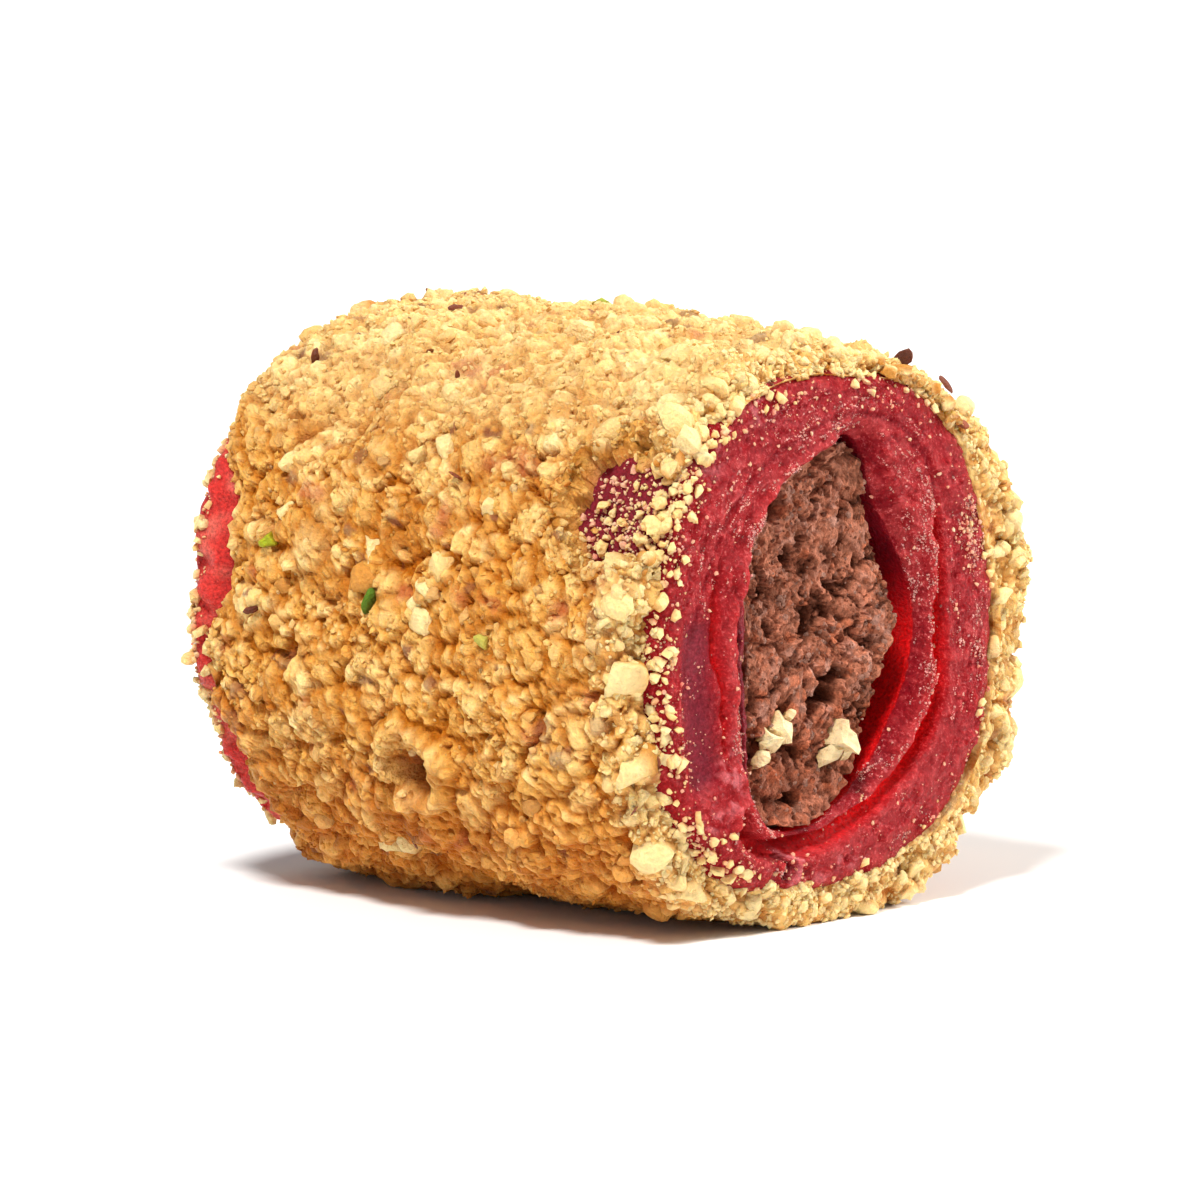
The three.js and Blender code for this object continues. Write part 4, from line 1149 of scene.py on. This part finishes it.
# Painted shade toward the foot of each crumb of dust, reddish like the jelly
SHADE_AT_DUST_FOOT = np.array([0.8, 0.35, 0.3])


def strewn(ways, spread, dice):
    """Small random moves along the surface, so that pieces don't sit in rows."""
    moves = spread * dice.normal(size=ways.shape)
    return moves - ways * np.sum(moves * ways, axis=1)[:, None]


dice = np.random.default_rng(303)
left_top = ease(-jelly_across + 0.5 * jelly_up, -2, 8)
from_spot = np.hypot(jelly_across - DUSTY_SPOT[0], (jelly_up - DUSTY_SPOT[1]) / 1.6)
right_spot = hill(from_spot, 0, 0.9, 2)
turn = np.arctan2(jelly_up, jelly_across)
from_bare = np.hypot(
    (turn - BARE_TURN) * BARE_REACH / DUSTY_ROUND, (jelly_points[:, 0] - BARE_X) / DUSTY_LONG
)
in_bare = ease(from_bare, 1.25, 0.75)
weight = jelly_on_face * np.exp(-jelly_from_outside / 1.3) * (0.25 + 0.5 * left_top)
weight = weight + 0.025 * jelly_on_face + 7.0 * right_spot * jelly_on_face * jelly_near
weight = weight * (0.2 + ease(swell(jelly_points, 1.5, 401), 0.0, 0.7))
in_bare = in_bare * (1 - 0.9 * jelly_on_face) * ease(jelly_from_outside, 2.4, 0.8)
weight = weight + 8.0 * in_bare * ease(swell(jelly_points, 1.3, 402), -0.4, 0.3)
weight = weight * (jelly_points[:, 2] > 1)
chosen = seat_on(jelly_points, weight, DUST, DUST_APART, dice)
ways, bare_here = jelly_ways[chosen], in_bare[chosen]
sizes = mixed_sizes(len(chosen), DUST_LEAST, DUST_MOST - DUST_LEAST, 2.6, dice)
sizes = sizes * (1 + 1.5 * (bare_here + 0.5 * right_spot[chosen]) * dice.random(len(chosen)))
spots = jelly_points[chosen] + ways * (0.2 * sizes)[:, None] + strewn(ways, DUST_STREWN, dice)
tints = blend(DUST_PINK, DUST_CREAM, np.clip(dice.random(len(chosen)) + 0.3 * bare_here, 0, 1))
shapes = [jagged(1, dice) for _ in range(16)]
points, faces, tone = pile_up(shapes, spots, ways, sizes, tints, SHADE_AT_DUST_FOOT, dice)
make_piece("nut_dust_on_jelly", points, faces, nut_flesh, tone, "jelly_sheet", smooth=False)

# Rim crumbs: crushed nut from the coating, dragged by the knife over the rounded edge of each cut face, where
# it stuck to the wet jelly, thickest on the left of the near one.
RIM_CRUMBS = 1700
RIM_CRUMB_LEAST, RIM_CRUMB_ABOVE = 0.08, 0.4
RIM_CRUMBS_APART, RIM_CRUMBS_STREWN = 0.25, 0.15
# Painted shade toward the foot of each rim crumb, reddish like the jelly
SHADE_AT_RIM_CRUMB_FOOT = np.array([0.7, 0.25, 0.2])

weight = hill(jelly_from_outside, 0.3, 0.7, 2) * (np.abs(jelly_along) > ROLL_HALF - 1.0)
weight = weight * np.where(jelly_near, 0.12 + 1.1 * ease(-jelly_across, 2, 10), 1.0)
weight = weight * (0.1 + ease(swell(jelly_points, 1.6, 411), -0.3, 0.5))
weight = weight * (jelly_points[:, 2] > 1.8)
chosen = seat_on(jelly_points, weight, RIM_CRUMBS, RIM_CRUMBS_APART, dice)
ways = jelly_ways[chosen]
sizes = mixed_sizes(len(chosen), RIM_CRUMB_LEAST, RIM_CRUMB_ABOVE, 3, dice)
spots = jelly_points[chosen] + ways * (0.1 * sizes)[:, None] + strewn(ways, RIM_CRUMBS_STREWN, dice)
tints = blend(GOLD_PALE, NUT_CREAM, dice.random(len(chosen)))
tints = blend(tints, DUST_PINK, 0.6 * dice.random(len(chosen)) * (sizes < 0.3))
shapes = [jagged(1, dice) for _ in range(24)]
points, faces, tone = pile_up(shapes, spots, ways, sizes, tints, SHADE_AT_RIM_CRUMB_FOOT, dice)
make_piece("rim_crumbs", points, faces, nut_flesh, tone, "nut_coating", smooth=False)

# Crumbs on the bare jelly: heaps of pale crumbs of every size, still held by the sticky jelly where the
# coating broke off, along the rim of the cut face beside that place, and on the left of the far rim.
HEAPS = [
    # along the roll, angle round it, how many crumbs, how far they spread and the largest radius
    (16.4, 2.66, 60, 0.8, 1.05), (15.9, 2.80, 40, 0.7, 0.6), (14.2, 2.86, 40, 0.8, 0.6),
    (12.8, 2.74, 36, 0.8, 0.6), (16.3, 2.33, 70, 0.9, 1.35), (16.7, 2.76, 40, 0.7, 0.45),
    (14.9, 2.62, 60, 0.9, 0.4), (13.8, 2.66, 40, 0.9, 0.45), (15.4, 2.70, 50, 0.9, 0.5),
    (14.4, 2.50, 30, 0.7, 0.35), (16.5, 2.95, 30, 0.7, 0.5), (12.2, 2.60, 24, 0.6, 0.55),
    (16.7, 2.50, 30, 0.7, 0.3), (15.6, 2.92, 30, 0.7, 0.6), (-16.7, 3.22, 30, 0.6, 0.6),
    (-16.4, 3.36, 36, 0.7, 0.75), (-16.4, 2.66, 20, 0.6, 0.6), (-16.4, 3.5, 24, 0.6, 0.7),
    (-16.3, 4.1, 16, 0.6, 0.6), (-15.8, 3.32, 24, 0.6, 0.6),
]
HEAP_FLATTER = 0.45
HEAP_CRUMB_LEAST = 0.07
# Painted shade toward the foot of each crumb of a heap
SHADE_AT_HEAP_CRUMB_FOOT = np.array([0.8, 0.5, 0.4])


def knobbly(dice):
    """A crumb of several grains of nut that stick together."""
    corners, sides = chipped(2, dice)
    knobs = np.maximum(swell(corners, 0.75, int(dice.integers(9999))), -0.2)
    return corners * (0.8 + 0.45 * knobs + 0.05 * dice.normal(size=len(corners)))[:, None], sides


places, sizes = [], []
for x, turn, count, spread, largest in HEAPS:
    foot = in_section(np.array([x]), jelly_radius(np.array([turn])), np.array([turn]))[0]
    way = np.array([0, math.cos(turn), math.sin(turn)])
    reach = dice.normal(size=(count, 3)) * spread
    reach = reach - np.outer(reach @ way, way) * (1 - HEAP_FLATTER)
    radii = mixed_sizes(count, HEAP_CRUMB_LEAST, 0.6 * largest - HEAP_CRUMB_LEAST, 3, dice)
    radii[0] = largest
    reach[0] *= 0.2
    places.append(foot + reach + way * (0.2 + 0.1 * dice.random((count, 1))))
    sizes.append(radii)
places, sizes = np.vstack(places), np.concatenate(sizes)
nearest = np.array([int(np.argmin(np.sum((jelly_points - place) ** 2, axis=1))) for place in places])
ways = jelly_ways[nearest]
over = np.sum((places - jelly_points[nearest]) * ways, axis=1)
places += ways * np.clip(0.3 * sizes - over, 0, None)[:, None]
away = np.linalg.norm(places - jelly_points[nearest], axis=1)
held_in = np.minimum(1, 0.8 * sizes / np.maximum(away, 0.01))
places = jelly_points[nearest] + (places - jelly_points[nearest]) * held_in[:, None]
tints = blend(GOLD_PALE, NUT_CREAM, dice.random(len(places)))
tints = blend(tints, DUST_PINK, 0.35 * dice.random(len(places)) * (sizes < 0.3))
shapes = [knobbly(dice) for _ in range(24)]
points, faces, tone = pile_up(shapes, places, ways, sizes, tints, SHADE_AT_HEAP_CRUMB_FOOT, dice)
make_piece("crumbs_on_bare_jelly", points, faces, nut_flesh, tone, "jelly_sheet", smooth=False)

# Sugar on the jelly: fine crystals that have dried out on the cut faces, in short streaks along the turns of
# the sheet and thickest on its ridges.
CRYSTAL_STREAKS = 1400
STREAKS_APART, STREAKS_STREWN = 0.12, 0.09
STREAK_STEPS = np.array([-0.17, -0.06, 0.05, 0.15])
STREAK_LONGEST = 1.6
CRYSTAL_LEAST, CRYSTAL_ABOVE, CRYSTAL_STREWN = 0.025, 0.065, 0.025
CRYSTAL_PINK = np.array([0.90, 0.42, 0.36])
# Painted shade toward the foot of each crystal, reddish like the jelly
SHADE_AT_CRYSTAL_FOOT = np.array([0.9, 0.5, 0.5])

tips = np.vstack([np.eye(3), -np.eye(3)])
cut_sides = np.array([[0, 1, 2], [1, 3, 2], [3, 4, 2], [4, 0, 2], [1, 0, 5], [3, 1, 5], [4, 3, 5], [0, 4, 5]])
patches = ease(swell(jelly_points, 1.0, 421) + 0.6 * swell(jelly_points, 0.4, 422), -0.2, 0.7)
patches = patches * ease(jelly_streaks, 0.1, 0.8)
weight = jelly_on_face * (0.03 + jelly_frosted**2.5) * (0.03 + patches)
weight = weight * (0.3 + 0.7 * jelly_near) * (0.6 + 0.8 * ease(jelly_across, 6, 9))
chosen = seat_on(jelly_points, weight, CRYSTAL_STREAKS, STREAKS_APART, dice)
turns = np.arctan2(jelly_up[chosen], jelly_across[chosen])
run = np.column_stack([0 * turns, -np.sin(turns), np.cos(turns)])
run = run * (STREAK_LONGEST * dice.random((len(chosen), 1)))
starts = jelly_points[chosen] + strewn(jelly_ways[chosen], STREAKS_STREWN, dice)
starts = (starts[:, None, :] + run[:, None, :] * STREAK_STEPS[:, None]).reshape(-1, 3)
ways = jelly_ways[np.repeat(chosen, len(STREAK_STEPS))]
sizes = mixed_sizes(len(ways), CRYSTAL_LEAST, CRYSTAL_ABOVE, 3, dice)
spots = starts + ways * (0.2 * sizes)[:, None] + strewn(ways, CRYSTAL_STREWN, dice)
tints = CRYSTAL_PINK * (0.45 + 0.75 * dice.random((len(ways), 1)))
shapes = [(tips * dice.uniform(0.6, 1.3, size=(6, 1)), cut_sides) for _ in range(10)]
points, faces, tone = pile_up(shapes, spots, ways, sizes, tints, SHADE_AT_CRYSTAL_FOOT, dice)
make_piece("sugar_on_jelly", points, faces, nut_flesh, tone, "jelly_sheet", smooth=False)
